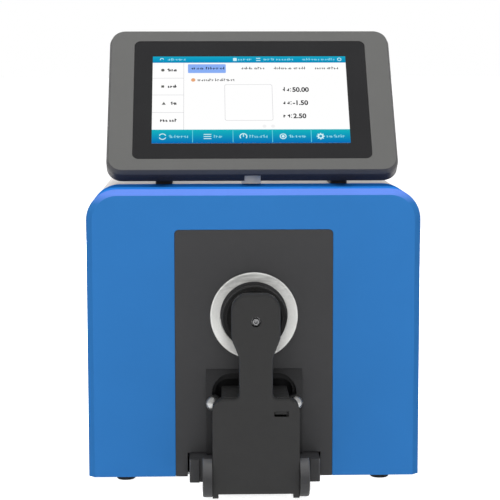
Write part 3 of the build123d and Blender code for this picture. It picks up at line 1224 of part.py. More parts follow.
# ---- Every piece by name ----
PIECES = {
    "front_bezel": front_bezel,
    "main_cover": main_cover,
    "cable_duct": cable_duct,
    "rear_panel": rear_panel,
    "rear_screws": rear_screws,
    "base_plate": base_plate,
    "foot_screws": foot_screws,
    "front_panel": front_panel,
    "aperture_ring": aperture_ring,
    "aperture_mask": aperture_mask,
    "guide_frame": guide_frame,
    "dome_screws": dome_screws,
    "hinge_carrier": hinge_carrier,
    "carrier_screws": carrier_screws,
    "hinge_shaft": hinge_shaft,
    "arm_plate": arm_plate,
    "arm_rear_housing": arm_rear_housing,
    "arm_spring": arm_spring,
    "pad_holder": pad_holder,
    "sample_pad": sample_pad,
    "pad_screw": pad_screw,
    "pad_spring": pad_spring,
    "sphere_front": sphere_front,
    "sphere_rear": sphere_rear,
    "flange_screws": flange_screws,
    "sphere_stand": sphere_stand,
    "lamp_housing": lamp_housing,
    "flash_lamp": flash_lamp,
    "detector_tube": detector_tube,
    "detector_lens": detector_lens,
    "spectrometer": spectrometer,
    "spectrometer_table": spectrometer_table,
    "main_board": main_board,
    "board_standoffs": board_standoffs,
    "flash_capacitor": flash_capacitor,
    "capacitor_clip": capacitor_clip,
    "switch_frame": switch_frame,
    "power_rocker": power_rocker,
    "power_inlet": power_inlet,
    "usb_port": usb_port,
    "screen_frame": screen_frame,
    "touch_glass": touch_glass,
    "lcd_module": lcd_module,
    "screen_back": screen_back,
    "screen_board": screen_board,
    "bracket_screws": bracket_screws,
    "tilt_pins": tilt_pins,
}


def save(name, part):
    solids = part if isinstance(part, list) else [part]
    moved = [Pos(0, FRONT_Y, 0) * solid for solid in solids]
    shape = moved[0] if len(moved) == 1 else Compound(children=moved)
    export_step(shape, f"parts/{name}.step")


def main():
    os.makedirs("parts", exist_ok=True)
    for name, build in PIECES.items():
        save(name, build())
    for name, (x, y) in foot_places().items():
        save(name, foot(x, y))
    for side, name in ((-1, "tilt_bracket_left"), (1, "tilt_bracket_right")):
        save(name, tilt_bracket(side))
    print("FRONT_Y", FRONT_Y, "screen axis", AXIS_Y + FRONT_Y, AXIS_Z)


main()
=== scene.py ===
"""Benchtop colorimeter with a clamp arm and a tilting screen.

Finishes for the casing, clamp, port, optics and rear fittings, a lit panel on
the screen, wound springs and screws, and a plain studio.
"""
import json
import math
import random

import bmesh
import bpy
from bpy.props import FloatProperty, FloatVectorProperty, IntProperty, PointerProperty, StringProperty
from mathutils import Matrix, Vector

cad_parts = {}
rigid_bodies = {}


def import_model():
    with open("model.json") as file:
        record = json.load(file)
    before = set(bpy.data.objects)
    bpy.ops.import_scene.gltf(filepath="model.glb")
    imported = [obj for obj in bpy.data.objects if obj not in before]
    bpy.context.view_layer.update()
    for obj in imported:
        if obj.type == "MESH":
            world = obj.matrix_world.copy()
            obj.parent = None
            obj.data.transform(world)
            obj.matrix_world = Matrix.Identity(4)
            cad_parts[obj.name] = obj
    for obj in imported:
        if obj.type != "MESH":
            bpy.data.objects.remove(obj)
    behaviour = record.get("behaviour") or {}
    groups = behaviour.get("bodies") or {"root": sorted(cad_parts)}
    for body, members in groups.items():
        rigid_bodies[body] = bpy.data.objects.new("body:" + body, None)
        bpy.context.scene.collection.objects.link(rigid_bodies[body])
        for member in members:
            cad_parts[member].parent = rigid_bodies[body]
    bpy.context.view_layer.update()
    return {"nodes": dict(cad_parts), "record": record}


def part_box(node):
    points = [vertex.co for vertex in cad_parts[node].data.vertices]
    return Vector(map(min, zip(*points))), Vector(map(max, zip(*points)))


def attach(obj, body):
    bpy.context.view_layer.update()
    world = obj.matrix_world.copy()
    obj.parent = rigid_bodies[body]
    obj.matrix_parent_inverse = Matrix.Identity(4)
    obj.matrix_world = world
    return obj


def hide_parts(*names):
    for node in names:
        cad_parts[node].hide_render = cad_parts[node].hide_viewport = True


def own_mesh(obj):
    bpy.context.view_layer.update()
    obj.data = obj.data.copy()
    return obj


bl_info = {
    "name": "Benchtop colorimeter",
    "version": (1, 0, 0),
    "blender": (4, 5, 0),
    "location": "3D View > Sidebar > Colorimeter",
    "description": "Dresses a benchtop colorimeter: casing, clamp, port, screen, fasteners and studio",
    "category": "Object",
}

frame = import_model()
NODES = frame["nodes"]
BODY_OF = {node: body for body, nodes in frame["record"]["behaviour"]["bodies"].items() for node in nodes}
SLOT_OF = {part["node"]: part["material_slot"] for part in frame["record"]["subparts"]}

MM = 0.001
WELD = 0.000004  # corners of a CAD mesh nearer than this are one
CREASE = math.radians(28)  # edges bent more than this stay sharp
FLAT = math.radians(0.2)  # faces bent less than this become one
FILM = 0.00002  # thickness of one layer on the lit panel
WHITE, BLACK = (1.0, 1.0, 1.0, 1.0), (0.0, 0.0, 0.0, 1.0)

BOARD_TOP = 0.0017  # from a circuit board's pins up to its upper face

# Page on the lit panel, in millimetres from the middle and the lower edge of the screen's face
BUTTON_BAR, TITLE_BAR = 13.2, 6.4  # heights of the bars
BUTTON_LINE, TITLE_LINE = 33.2, 109.5  # middles of the icons on them
COLUMN = -53.1
RULES = (90.6, 73.85, 56.6)
FIGURES, FIGURE_ROWS = (32.7, 76.85), 13.0  # lower left of the first figure, and from row to row
COLON, ROWS = 31.4, (79.1, 66.15, 53.1)

# How far a face is turned where the next finish of its piece begins
# HOOD_TURNS: the hood's slanted edge takes a painted highlight and its top takes painted light
HOOD_TURNS = (-0.9, -0.3)
# RING_TURNS: faces of the ring turned outwards take painted shade on its lip and sides
RING_TURNS = (0.5, 0.85)
# BARREL_TURNS: the casting's curved faces take the barrel paint with its painted highlight
BARREL_TURNS = (-0.99,)
SCREEN_TURNS = (-0.97, -0.2)
# Where a painted highlight or painted shade blends into the base colour: below the piece's top, or above the
# hinge's axis
BEVEL_HIGHLIGHT_BLEND = (0.011, 0.0035)
CROWN_PAINTED_LIGHT_BLEND = (0.022, 0.001)
RING_STREAK_SHADE = (0.022, 0.007)
BARREL_HIGHLIGHT_BLEND = (0.003, 0.012)

# Roughness, gloss and tint, then width and depth of the grain and softness of the edges, which the casing
# has among its settings
MOULDED = {
    "hood_blue": (0.42, 0.0, 0.02),
    "hood_bevel": (0.42, 0.0, 0.02),
    "hood_crown": (0.42, 0.0, 0.02),
    "insert_dark": (0.5, 0.18, 0.02),
    "guide_black": (0.5, 0.2, 0.02),
    "mask_black": (0.5, 0.25, 0.02, 0.0006, 0.00001, 0.0004),
    "casting_paint": (0.46, 0.2, 0.04, 0.0012, 0.00003, 0.0005),
    "barrel_paint": (0.46, 0.24, 0.04, 0.0012, 0.00003, 0.0005),
    "arm_moulding": (0.48, 0.2, 0.02, 0.0008, 0.000015, 0.0005),
    "pad_cup_moulding": (0.55, 0.1, 0.02, 0.0006, 0.00001, 0.0004),
    "washer_black": (0.5, 0.2, 0.02, 0.0007, 0.000012, 0.0004),
    "anodised_black": (0.4, 0.5, 0.02, 0.0005, 0.000006, 0.0004),
    "capacitor_sleeve": (0.25, 0.5, 0.02, 0.003, 0.00001, 0.0004),
    "fitting_black": (0.42, 0.4, 0.02, 0.0007, 0.00001, 0.0004),
    "rocker_black": (0.22, 0.5, 0.02, 0.001, 0.000004, 0.0004),
    "surround_grey": (0.5, 0.25, 0.02, 0.0006, 0.00001, 0.0004),
    "surround_flare": (0.5, 0.2, 0.02, 0.0006, 0.00001, 0.0004),
    "shell_dark": (0.5, 0.3, 0.02, 0.0008, 0.000015, 0.0005),
    "panel_backing": (0.3, 0.4, 0.02, 0.0007, 0.000012, 0.0004),
}
# Roughness, then width, depth and stretch of the drawn marks
STEELS = {
    "zinc_sheet": (0.42, 0.004, 0.000006, (1.0, 0.15, 1.0)),
    "bent_sheet": (0.4, 0.004, 0.000006, (1.0, 1.0, 0.15)),
    "ring_edge": (0.5, 0.002, 0.000004, (0.1, 1.0, 1.0)),
    "milled_alloy": (0.36, 0.002, 0.00001, (0.2, 1.0, 1.0)),
    "dome_steel": (0.34, 0.002, 0.000003, None),
    "head_screw_oxide": (0.34, 0.002, 0.000004, None),
    "spring_wire": (0.3, 0.0008, 0.000003, None),
    "screw_zinc": (0.32, 0.001, 0.000003, None),
    "tinned_socket": (0.28, 0.002, 0.000003, None),
    "pin_steel": (0.24, 0.002, 0.000004, None),
}
# Size, place and aim of each lamp
LAMPS = {
    "front": (1.6, (-0.5, -1.9, 1.15), (0.0, -0.1, 0.15)),
    "fill": (0.8, (0.1, -2.0, 0.45), (0.0, -0.1, 0.15)),
    "top": (0.8, (0.0, -0.35, 1.75), (0.0, -0.1, 0.15)),
    "rear": (0.6, (0.0, 1.6, 0.72), (0.0, 0.0, 0.22)),
}


def linear(red, green, blue):
    """Colour from 0 to 255 as shown on a display, made linear."""
    return tuple(((value / 255 + 0.055) / 1.055) ** 2.4 for value in (red, green, blue)) + (1.0,)


# ---- Settings ----
def colour(name, text, *shown):
    return FloatVectorProperty(name=name, description=text, subtype="COLOR", size=4, min=0.0, max=1.0,
                               default=linear(*shown))


def length(name, text, default):
    return FloatProperty(name=name, description=text, unit="LENGTH", precision=5, min=0.0, default=default)


def number(name, text, default, low, high):
    return FloatProperty(name=name, description=text, min=low, max=high, default=default)


def power(name, text, default):
    return FloatProperty(name=name, description=text, unit="POWER", min=0.0, default=default)


def angle(name, text, degrees):
    return FloatProperty(name=name, description=text, subtype="ANGLE", default=math.radians(degrees))


class CasingSettings(bpy.types.PropertyGroup):
    hood: colour("Hood", "Moulded front hood", 42, 99, 157)
    # Painted highlight: a lighter blue on the slanted edge, standing in for light from above
    bevel: colour("Hood bevel", "Slanted edge of the hood", 83, 116, 192)
    # Painted light: a brighter blue on the top, standing in for light that the screen's shadow keeps off
    crown: colour("Hood crown", "Top of the hood behind its slanted edge", 34, 109, 192)
    cover: colour("Cover", "Powder-coated main cover", 203, 198, 195)
    # Painted light: the cap is far paler than the cover's own colour, standing in for light under the screen
    duct: colour("Duct", "Cap over the cable's hole", 250, 248, 245)
    back: colour("Back", "Powder-coated rear panel", 66, 66, 68)
    panel: colour("Insert", "Dark front insert", 45, 45, 46)
    # Painted shade: near black on the insert inside the guide frame, standing in for the shade in the arch's
    # recess
    recess: colour("Recess", "Insert inside the guide frame", 11, 11, 12)
    guide: colour("Guide", "Trim round the arch", 29, 29, 30)
    rubber: colour("Rubber", "Feet and pad", 28, 28, 29)
    sheet: colour("Sheet steel", "Base plate and inner brackets", 176, 178, 180)
    grain: length("Grain", "Width of the moulded grain", 0.0007)
    grain_depth: length("Grain depth", "Depth of the moulded grain", 0.000012)
    peel: length("Powder texture", "Width of the powder coat's texture", 0.0013)
    edge: length("Edge softness", "Radius at which moulded edges catch light", 0.0004)


class PortSettings(bpy.types.PropertyGroup):
    ring: colour("Ring", "Brushed metal ring", 214, 214, 211)
    # Painted shade: a darker copy of the ring's metal on its outer corner, so that the corner shows no
    # highlight
    ring_lip: colour("Ring lip", "Broken outer corner of the ring", 186, 186, 184)
    # Painted shade: dark sides of the ring, standing in for the shadow line round it
    ring_edge: colour("Ring edge", "Dull sides of the ring", 70, 70, 69)
    mask: colour("Mask", "Black aperture mask", 41, 41, 42)
    brushing: length("Brushing pitch", "Distance between brushed lines", 0.0009)
    brushing_depth: length("Brushing depth", "Depth of the brushed lines", 0.00001)


class ClampSettings(bpy.types.PropertyGroup):
    arm: colour("Arm", "Moulded clamp arm", 31, 31, 31)
    cup: colour("Pad cup", "Stepped cup behind the pad", 24, 24, 24)
    casting: colour("Casting", "Painted hinge casting", 41, 41, 42)
    barrel: colour("Barrel", "Lower half of the hinge barrels", 41, 41, 42)
    # Painted highlight: the barrels' tops turn lighter, standing in for light from above
    barrel_top: colour("Barrel top", "Rubbed crown of the hinge barrels", 72, 72, 73)
    steel: colour("Bright steel", "Polished dome screws and shaft", 154, 154, 153)
    zinc: colour("Zinc", "Plated screws", 178, 180, 182)
    oxide: colour("Oxide", "Blackened socket screw", 104, 104, 105)
    spring: colour("Spring wire", "Drawn spring wire", 150, 150, 152)
    turns: number("Turns", "Turns of the pad spring", 3.0, 1.0, 20.0)
    wire: length("Wire radius", "Radius of the pad spring's wire", 0.0005)
    washer: length("Washer", "Thickness of the hinge washers", 0.0002)
    washer_gap: length("Washer gap", "Gap between arm and washer", 0.00005)
    washer_radius: length("Washer radius", "Radius of the hinge washers", 0.0142)


class ScreenSettings(bpy.types.PropertyGroup):
    housing: colour("Frame", "Front frame of the screen", 80, 80, 79)
    flare: colour("Flare", "Slanted edge of the frame", 62, 61, 62)
    shell: colour("Shell", "Rear shell of the screen", 42, 38, 39)
    glass: colour("Glass", "Dark border of the glass", 29, 29, 30)
    side_lit: length("Lit side", "From the middle of the face to the lit panel's left edge", 0.0779)
    width_lit: length("Lit width", "Width of the lit panel", 0.1544)
    height_lit: length("Lit height", "Height of the lit panel", 0.0859)
    foot_lit: length("Lit foot", "From the face's lower edge to the lit panel", 0.0267)
    sunk: length("Glass depth", "How far the glass lies under the frame's face", 0.0002)
    title_upper: colour("Title bar, upper", "Upper colour of the title bar", 22, 168, 199)
    title_lower: colour("Title bar, lower", "Lower colour of the title bar", 6, 136, 187)
    bar_upper: colour("Button bar, upper", "Upper colour of the button bar", 22, 180, 190)
    bar_lower: colour("Button bar, lower", "Lower colour of the button bar", 8, 108, 183)
    tab: colour("Tab", "Chosen tab", 138, 175, 245)
    mark: colour("Mark", "Round mark beside the reading's name", 232, 168, 120)
    ink: colour("Ink", "Dark marks and figures", 30, 30, 32)
    rule: colour("Rule", "Thin grey lines", 196, 196, 200)
    card: colour("Card edge", "Line round the empty card", 212, 212, 214)
    dot: colour("Dot", "Round dots under the card", 242, 242, 243)
    label: colour("Label", "Pale marks on the bars", 150, 222, 238)
    icon: colour("Icon", "Pale icons on the bars", 206, 241, 248)
    divider: colour("Divider", "Lines between the buttons", 104, 212, 228)
    dim: colour("Dim ink", "Small icons in the column", 96, 96, 92)
    text_height: length("Figure size", "Size of the three figures", 0.0062)
    narrow: number("Figure width", "Width of the figures as a share of the font's", 0.96, 0.3, 1.5)
    figures: StringProperty(name="Figures", description="Three plain numbers, parted by spaces",
                            default="50.00 -1.50 2.50")


class FastenerSettings(bpy.types.PropertyGroup):
    sides: IntProperty(name="Sides", description="Sides of each round screw head", min=12, max=64, default=28)
    recess: number("Recess", "Width of the cross recess, as a share of the head", 0.62, 0.1, 0.9)


class StudioSettings(bpy.types.PropertyGroup):
    floor: FloatVectorProperty(name="Floor", description="Pale floor", subtype="COLOR", size=4, min=0.0,
                               max=1.0, default=(0.93, 0.93, 0.93, 1.0))
    floor_lift: number("Floor lift", "Share of plain white in the floor as seen", 0.85, 0.0, 1.0)
    room: number("Room light", "Strength of the even light from all round", 0.30, 0.0, 10.0)
    front: power("Front lamp", "Power of the large soft lamp in front", 17.0)
    fill: power("Fill lamp", "Power of the soft lamp beside the camera", 14.0)
    top: power("Top lamp", "Power of the soft lamp overhead", 24.0)
    rear: power("Rear lamp", "Power of the low lamp behind", 34.0)
    place: FloatVectorProperty(name="Camera", description="Camera's place", subtype="TRANSLATION", size=3,
                               default=(-0.03915, -1.3538, 0.3252))
    down: angle("Pitch", "How far the camera looks down", 6.62)
    turn: angle("Yaw", "How far the camera looks to the right", 1.694)
    roll: angle("Roll", "Lean of the camera about its own axis", -0.08)
    lens: number("Lens", "Focal length in millimetres", 117.2, 1.0, 1000.0)


class ColorimeterSettings(bpy.types.PropertyGroup):
    casing: PointerProperty(type=CasingSettings)
    port: PointerProperty(type=PortSettings)
    clamp: PointerProperty(type=ClampSettings)
    screen: PointerProperty(type=ScreenSettings)
    fasteners: PointerProperty(type=FastenerSettings)
    studio: PointerProperty(type=StudioSettings)


# ---- Node trees ----
class Tree:
    """A node tree under construction, with short calls for its nodes."""

    family = "ShaderNode"

    def __init__(self, tree):
        self.tree = tree
        tree.nodes.clear()

    def add(self, kind, links=None, **options):
        """New node, of the tree's own family unless its kind is given in full."""
        node = self.tree.nodes.new(kind if "Node" in kind else self.family + kind)
        for key, value in options.items():
            setattr(node, key, value)
        for key, value in (links or {}).items():
            for item in value if isinstance(value, list) else [value]:
                self.feed(node.inputs[key], item)
        return node

    def made(self, kind, links=None, **options):
        """First output of a new node."""
        return self.add(kind, links, **options).outputs[0]

    def feed(self, socket, value):
        """Links a socket, or sets a plain value on it."""
        if isinstance(value, bpy.types.NodeSocket):
            self.tree.links.new(value, socket)
        else:
            socket.default_value = value

    def maths(self, operation, first, second=0.0, third=0.0):
        return self.made("ShaderNodeMath", {0: first, 1: second, 2: third}, operation=operation)

    def seen(self):
        """One where the camera, metal or glass looks, and nought for light on the object."""
        rays = self.add("LightPath").outputs
        looks = rays["Is Camera Ray"]
        for label in ("Is Glossy Ray", "Is Transmission Ray"):
            looks = self.maths("MAXIMUM", looks, rays[label])
        return looks


class Finish(Tree):
    """A material under construction, patterned by place on the piece."""

    sockets = {"colour": "Base Color", "specular": "Specular IOR Level", "glow": "Emission Color",
               "strength": "Emission Strength", "clear": "Transmission Weight", "ior": "IOR"}

    def __init__(self, name):
        self.material = bpy.data.materials.new(name)
        self.material.use_nodes = True
        super().__init__(self.material.node_tree)
        self.shader = self.add("BsdfPrincipled")
        self.add("OutputMaterial", {0: self.shader.outputs[0]})
        self.place = self.add("TexCoord").outputs["Object"]

    def set(self, **values):
        """Feeds the shader and gives the finished material."""
        for key, value in values.items():
            self.feed(self.shader.inputs[self.sockets.get(key, key.capitalize())], value)
        return self.material

    def noise(self, width, detail=2.0, rough=0.5, stretch=None):
        """Noise with patches of about that width in metres."""
        place = self.made("Mapping", {"Vector": self.place, "Scale": stretch}) if stretch else self.place
        return self.made("TexNoise", {"Vector": place, "Scale": 1.0 / width, "Detail": detail,
                                      "Roughness": rough})

    def spread(self, value, low, high, start=0.3, end=0.7):
        return self.made("MapRange", {"Value": value, "From Min": start, "From Max": end, "To Min": low,
                                      "To Max": high})

    def mix(self, amount, first, second, blend="MIX"):
        return self.add("Mix", {"Factor": amount, 6: first, 7: second}, data_type="RGBA",
                        blend_type=blend).outputs[2]

    def coordinate(self, index):
        return self.add("SeparateXYZ", {0: self.place}).outputs[index]

    def height(self, foot, head, low=0.0, high=1.0):
        """From one value at the lower height to the other at the upper."""
        return self.spread(self.coordinate(2), low, high, foot, head)

    def between(self, low, high):
        """One between two corners in width and height, less a millimetre, and nought elsewhere."""
        inside = [self.maths("COMPARE", self.coordinate(index), (low[index] + high[index]) / 2,
                             (high[index] - low[index]) / 2 - MM) for index in (0, 2)]
        return self.maths("MULTIPLY", *inside)

    def tinted(self, base, width, amount):
        """The colour with soft lighter and darker patches."""
        return self.mix(1.0, base, self.spread(self.noise(width, 3.0), 1 - amount, 1 + amount), "MULTIPLY")

    def bump(self, height, depth, edge=0.0):
        """Normal of a relief that deep, over edges rounded at that radius."""
        links = {"Distance": depth, "Height": height}
        if edge:
            links["Normal"] = self.made("Bevel", {"Radius": edge}, samples=4)
        return self.made("Bump", links)


# ---- Materials ----
def moulded(name, base, *skin, painted_tone=None):
    """Moulding or paint with a fine grain, and a second colour by height or in a patch where asked; every
    such second colour here is painted light or shade.
    """
    roughness, specular, tint, grain, depth, edge = MOULDED[name] + skin
    finish = Finish(name)
    if painted_tone:
        second, way, *limits = painted_tone
        base = finish.mix(getattr(finish, way)(*limits), base, second)
    return finish.set(colour=finish.tinted(base, 0.05, tint), specular=specular,
                      roughness=finish.spread(finish.noise(0.004), roughness - 0.04, roughness + 0.05),
                      normal=finish.bump(finish.noise(grain, 3.0, 0.6), depth, edge))


def powder_coat(name, base, peel, depth=0.00003):
    """Baked powder coat: soft orange peel under a fine speckle."""
    finish = Finish(name)
    waves, speckle = finish.noise(peel, 2.0, 0.45), finish.noise(peel / 3, 2.0, 0.7)
    darker = tuple(channel * 0.8 for channel in base[:3]) + (1.0,)
    flecks = finish.spread(speckle, 0.0, 0.10, 0.62, 0.75)
    relief = finish.maths("MULTIPLY_ADD", speckle, 0.35, waves)
    return finish.set(colour=finish.mix(flecks, finish.tinted(base, 0.08, 0.015), darker), specular=0.4,
                      roughness=finish.spread(waves, 0.48, 0.58), normal=finish.bump(relief, depth, 0.0005))


def rubber(name, base):
    """Matt rubber with a dusty bloom."""
    finish = Finish(name)
    bloom = finish.spread(finish.noise(0.006, 4.0), 0.0, 0.10, 0.5, 0.8)
    return finish.set(colour=finish.mix(bloom, base, (0.09, 0.09, 0.088, 1.0)), specular=0.25,
                      roughness=finish.spread(finish.noise(0.002), 0.68, 0.82),
                      normal=finish.bump(finish.noise(0.0008, 3.0), 0.00003, 0.0004))


def steel(name, base):
    """Bright or plated metal with fine drawn marks."""
    roughness, width, depth, stretch = STEELS[name]
    finish = Finish(name)
    marks = finish.noise(width, 3.0, 0.6, stretch)
    return finish.set(colour=finish.tinted(base, 0.012, 0.05), metallic=1.0,
                      roughness=finish.spread(marks, roughness - 0.06, roughness + 0.08),
                      normal=finish.bump(marks, depth, 0.0002))


def brushed_metal(name, base, pitch, depth, *shade_heights):
    """Satin metal brushed straight across, with long soft streaks that deepen between two heights, darker
    towards the top as painted shade.
    """
    finish = Finish(name)
    lines = finish.noise(pitch, 3.0, 0.6, (0.03, 1.0, 1.0))
    streaks = finish.spread(finish.noise(0.0026, 3.0, 0.6, (0.10, 1.0, 1.0)), 0.5, 0.0)
    shaded_streaks = finish.maths("MULTIPLY", streaks, finish.height(*shade_heights, 0.10, 1.0))
    shade = finish.maths("SUBTRACT", finish.spread(lines, 0.94, 1.03), shaded_streaks)
    return finish.set(colour=finish.mix(1.0, base, shade, "MULTIPLY"), specular=0.3, anisotropic=0.5,
                      roughness=finish.spread(lines, 0.38, 0.52), normal=finish.bump(lines, depth, 0.0003),
                      tangent=finish.made("CombineXYZ", {0: 1.0}))


def clear_glass(name, tint):
    """Clear glass with faint smears."""
    finish = Finish(name)
    smear = finish.noise(0.01, 3.0)
    return finish.set(colour=tint, clear=0.9, ior=1.48, roughness=finish.spread(smear, 0.03, 0.08),
                      normal=finish.bump(smear, 0.000002))


def border_glass(name, tint):
    """Dark glass with faint smears."""
    finish = Finish(name)
    smear = finish.noise(0.03, 3.0)
    return finish.set(colour=finish.tinted(tint, 0.04, 0.03), specular=0.1,
                      roughness=finish.spread(smear, 0.12, 0.2), normal=finish.bump(smear, 0.000003))


def circuit_board(name, level):
    """Green board with copper runs; what stands above the level is dark plastic."""
    finish = Finish(name)
    lanes = finish.noise(0.004, 1.0, 0.4, (1.0, 0.12, 1.0))
    board = finish.mix(finish.spread(lanes, 0.0, 0.75, 0.54, 0.57), (0.010, 0.085, 0.034, 1.0),
                       (0.030, 0.19, 0.075, 1.0))
    proud = finish.maths("GREATER_THAN", finish.coordinate(2), level)
    return finish.set(colour=finish.mix(proud, board, (0.018, 0.018, 0.02, 1.0)), specular=0.5,
                      roughness=finish.spread(lanes, 0.28, 0.42), normal=finish.bump(lanes, 0.00003))


def lit(name, lower, upper=None, *heights, fine=0.01):
    """Lit part of the screen, with an upright blend where asked and a trace of pixel grid."""
    finish = Finish(name)
    blend = finish.mix(finish.height(*heights), lower, upper) if upper else lower
    grid = finish.spread(finish.noise(0.0016, 1.0), 1 - fine, 1 + fine)
    return finish.set(colour=BLACK, glow=finish.mix(1.0, blend, grid, "MULTIPLY"), strength=1.0, specular=0.0,
                      roughness=finish.spread(finish.noise(0.02), 0.10, 0.16))


# ---- Pieces ----
def keep(obj, body, slot, *stands_for):
    """Puts a finished piece on its body and hides the CAD nodes that it stands for."""
    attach(obj, body)
    if stands_for:
        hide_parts(*stands_for)
    return obj


def add_object(name, data, *materials):
    obj = bpy.data.objects.new(name, data)
    bpy.context.scene.collection.objects.link(obj)
    for material in materials:
        data.materials.append(material)
    return obj


def built(name, shape, *materials):
    """Object from a bmesh, which ends here."""
    mesh = bpy.data.meshes.new(name)
    shape.to_mesh(mesh)
    shape.free()
    return add_object(name, mesh, *materials)


def welded(mesh, gap=WELD):
    """Mesh as a bmesh whose doubled corners are joined."""
    shape = bmesh.new()
    shape.from_mesh(mesh)
    bmesh.ops.remove_doubles(shape, verts=shape.verts, dist=gap)
    return shape


def plain_mesh(obj):
    """New mesh of what an object and its modifiers make."""
    return bpy.data.meshes.new_from_object(obj.evaluated_get(bpy.context.evaluated_depsgraph_get()))


def settled(obj):
    """Turns an object's modifiers into plain mesh."""
    mesh = plain_mesh(obj)
    mesh.name = obj.name
    obj.modifiers.clear()
    obj.data = mesh
    return obj


def bridge(shape, near, far):
    """Faces between two rings with the same number of corners."""
    for index in range(len(near)):
        after = (index + 1) % len(near)
        shape.faces.new((near[index], near[after], far[after], far[index]))


def in_order(shape):
    """Fixed order for faces, since an extrusion leaves its sides in a different one each run."""
    shape.verts.index_update()
    corners = {face: sorted(vert.index for vert in face.verts) for face in shape.faces}
    for index, face in enumerate(sorted(shape.faces, key=corners.get)):
        face.index = index
    shape.faces.sort()


def dress(material, *nodes):
    """Gives CAD nodes a finish and leaves their shape alone."""
    for node in nodes:
        NODES[node].data.materials.clear()
        NODES[node].data.materials.append(material)


def smoothed(node, name, material):
    """Copy of a CAD node with joined corners, so that its curves shade smoothly."""
    shape = welded(NODES[node].data)
    bmesh.ops.dissolve_limit(shape, angle_limit=FLAT, verts=shape.verts, edges=shape.edges,
                             delimit={"NORMAL"})
    for face in shape.faces:
        face.smooth, face.material_index = True, 0
    for edge in shape.edges:
        edge.smooth = len(edge.link_faces) == 2 and edge.calc_face_angle(0.0) < CREASE
    obj = built(name, shape, material)
    flats = obj.modifiers.new("flat faces first", "WEIGHTED_NORMAL")
    flats.mode, flats.weight, flats.keep_sharp = "FACE_AREA", 100, True
    return keep(settled(obj), BODY_OF[node], SLOT_OF[node], node)


def paint(obj, turned, limits, *materials):
    """Gives each face the finish for the number of limits that its turn passes."""
    for material in materials:
        obj.data.materials.append(material)
    for face in obj.data.polygons:
        face.material_index = sum(turned(face) > limit for limit in limits)


def islands(node):
    """Low and high corner of each separate solid in a CAD node."""
    shape = welded(NODES[node].data)
    left, boxes = set(shape.verts), []
    while left:
        group, front = [], [left.pop()]
        while front:
            vert = front.pop()
            group.append(vert.co)
            for edge in vert.link_edges:
                other = edge.other_vert(vert)
                if other in left:
                    left.discard(other)
                    front.append(other)
        boxes.append([Vector(end(place[axis] for place in group) for axis in range(3)) for end in (min, max)])
    shape.free()
    return sorted(boxes, key=lambda pair: tuple(round(value, 4) for value in pair[0]))


def points_object(name, points, **attributes):
    """Loose vertices that a node tree builds on."""
    mesh = bpy.data.meshes.new(name)
    mesh.from_pydata(points, [], [])
    for label, values in attributes.items():
        mesh.attributes.new(label, "FLOAT", "POINT").data.foreach_set("value", values)
    return add_object(name, mesh)


# ---- Geometry node trees ----
class Plan(Tree):
    """A tree that sets one shape on each vertex, with named sizes."""

    family = "GeometryNode"

    def __init__(self, name, **sizes):
        super().__init__(bpy.data.node_groups.new(name, "GeometryNodeTree"))
        kinds = {label.replace("_", " "): type(size).__name__.capitalize() for label, size in sizes.items()}
        sides = self.tree.interface
        sides.new_socket("Geometry", in_out="OUTPUT", socket_type="NodeSocketGeometry")
        self.ids = {}
        kinds.update({"Turn": "Rotation", "Material": "Material"})
        for label, kind in {"Geometry": "Geometry", **kinds}.items():
            socket = sides.new_socket(label, in_out="INPUT", socket_type="NodeSocket" + kind)
            self.ids[label.replace(" ", "_")] = socket.identifier
            if kind in ("Float", "Int"):
                socket.default_value = sizes[label.replace(" ", "_")]
        self.take = self.add("NodeGroupInput").outputs

    def times(self, first, second):
        return self.maths("MULTIPLY", first, second)

    def vector(self, x=0.0, y=0.0, z=0.0):
        return self.made("ShaderNodeCombineXYZ", {0: x, 1: y, 2: z})

    def post(self, radius, height, rise):
        """Round post that stands off the ground by a share of its height."""
        post = self.made("MeshCylinder", {"Vertices": self.take["Sides"], "Radius": radius, "Depth": height})
        return self.raised(post, self.times(height, rise))

    def raised(self, shape, rise):
        return self.made("Transform", {"Geometry": shape, "Translation": self.vector(z=rise)})

    def solid(self, operation, *others, first=None):
        """Union or intersection of solids, or the first less the others."""
        links = {"Mesh 1": [first] if first else [], "Mesh 2": list(others)}
        return self.made("MeshBoolean", links, operation=operation, solver="EXACT")

    def finish(self, shape, smooth=False, **scale):
        """Ends the tree with real mesh on each vertex, and its material."""
        shape = self.made("InstanceOnPoints", {"Points": self.take["Geometry"], "Instance": shape,
                                               "Rotation": self.take["Turn"], **scale})
        shape = self.made("RealizeInstances", {0: shape})
        if smooth:
            shape = self.made("SetShadeSmooth", {"Geometry": shape})
        shape = self.made("SetMaterial", {"Geometry": shape, "Material": self.take["Material"]})
        self.add("NodeGroupOutput", {0: shape})
        return self

    def run(self, obj, **values):
        """Runs the tree on an object with these inputs, and keeps the result as mesh."""
        modifier = obj.modifiers.new(self.tree.name, "NODES")
        modifier.node_group = self.tree
        for label, value in values.items():
            modifier[self.ids[label]] = value
        return settled(obj)


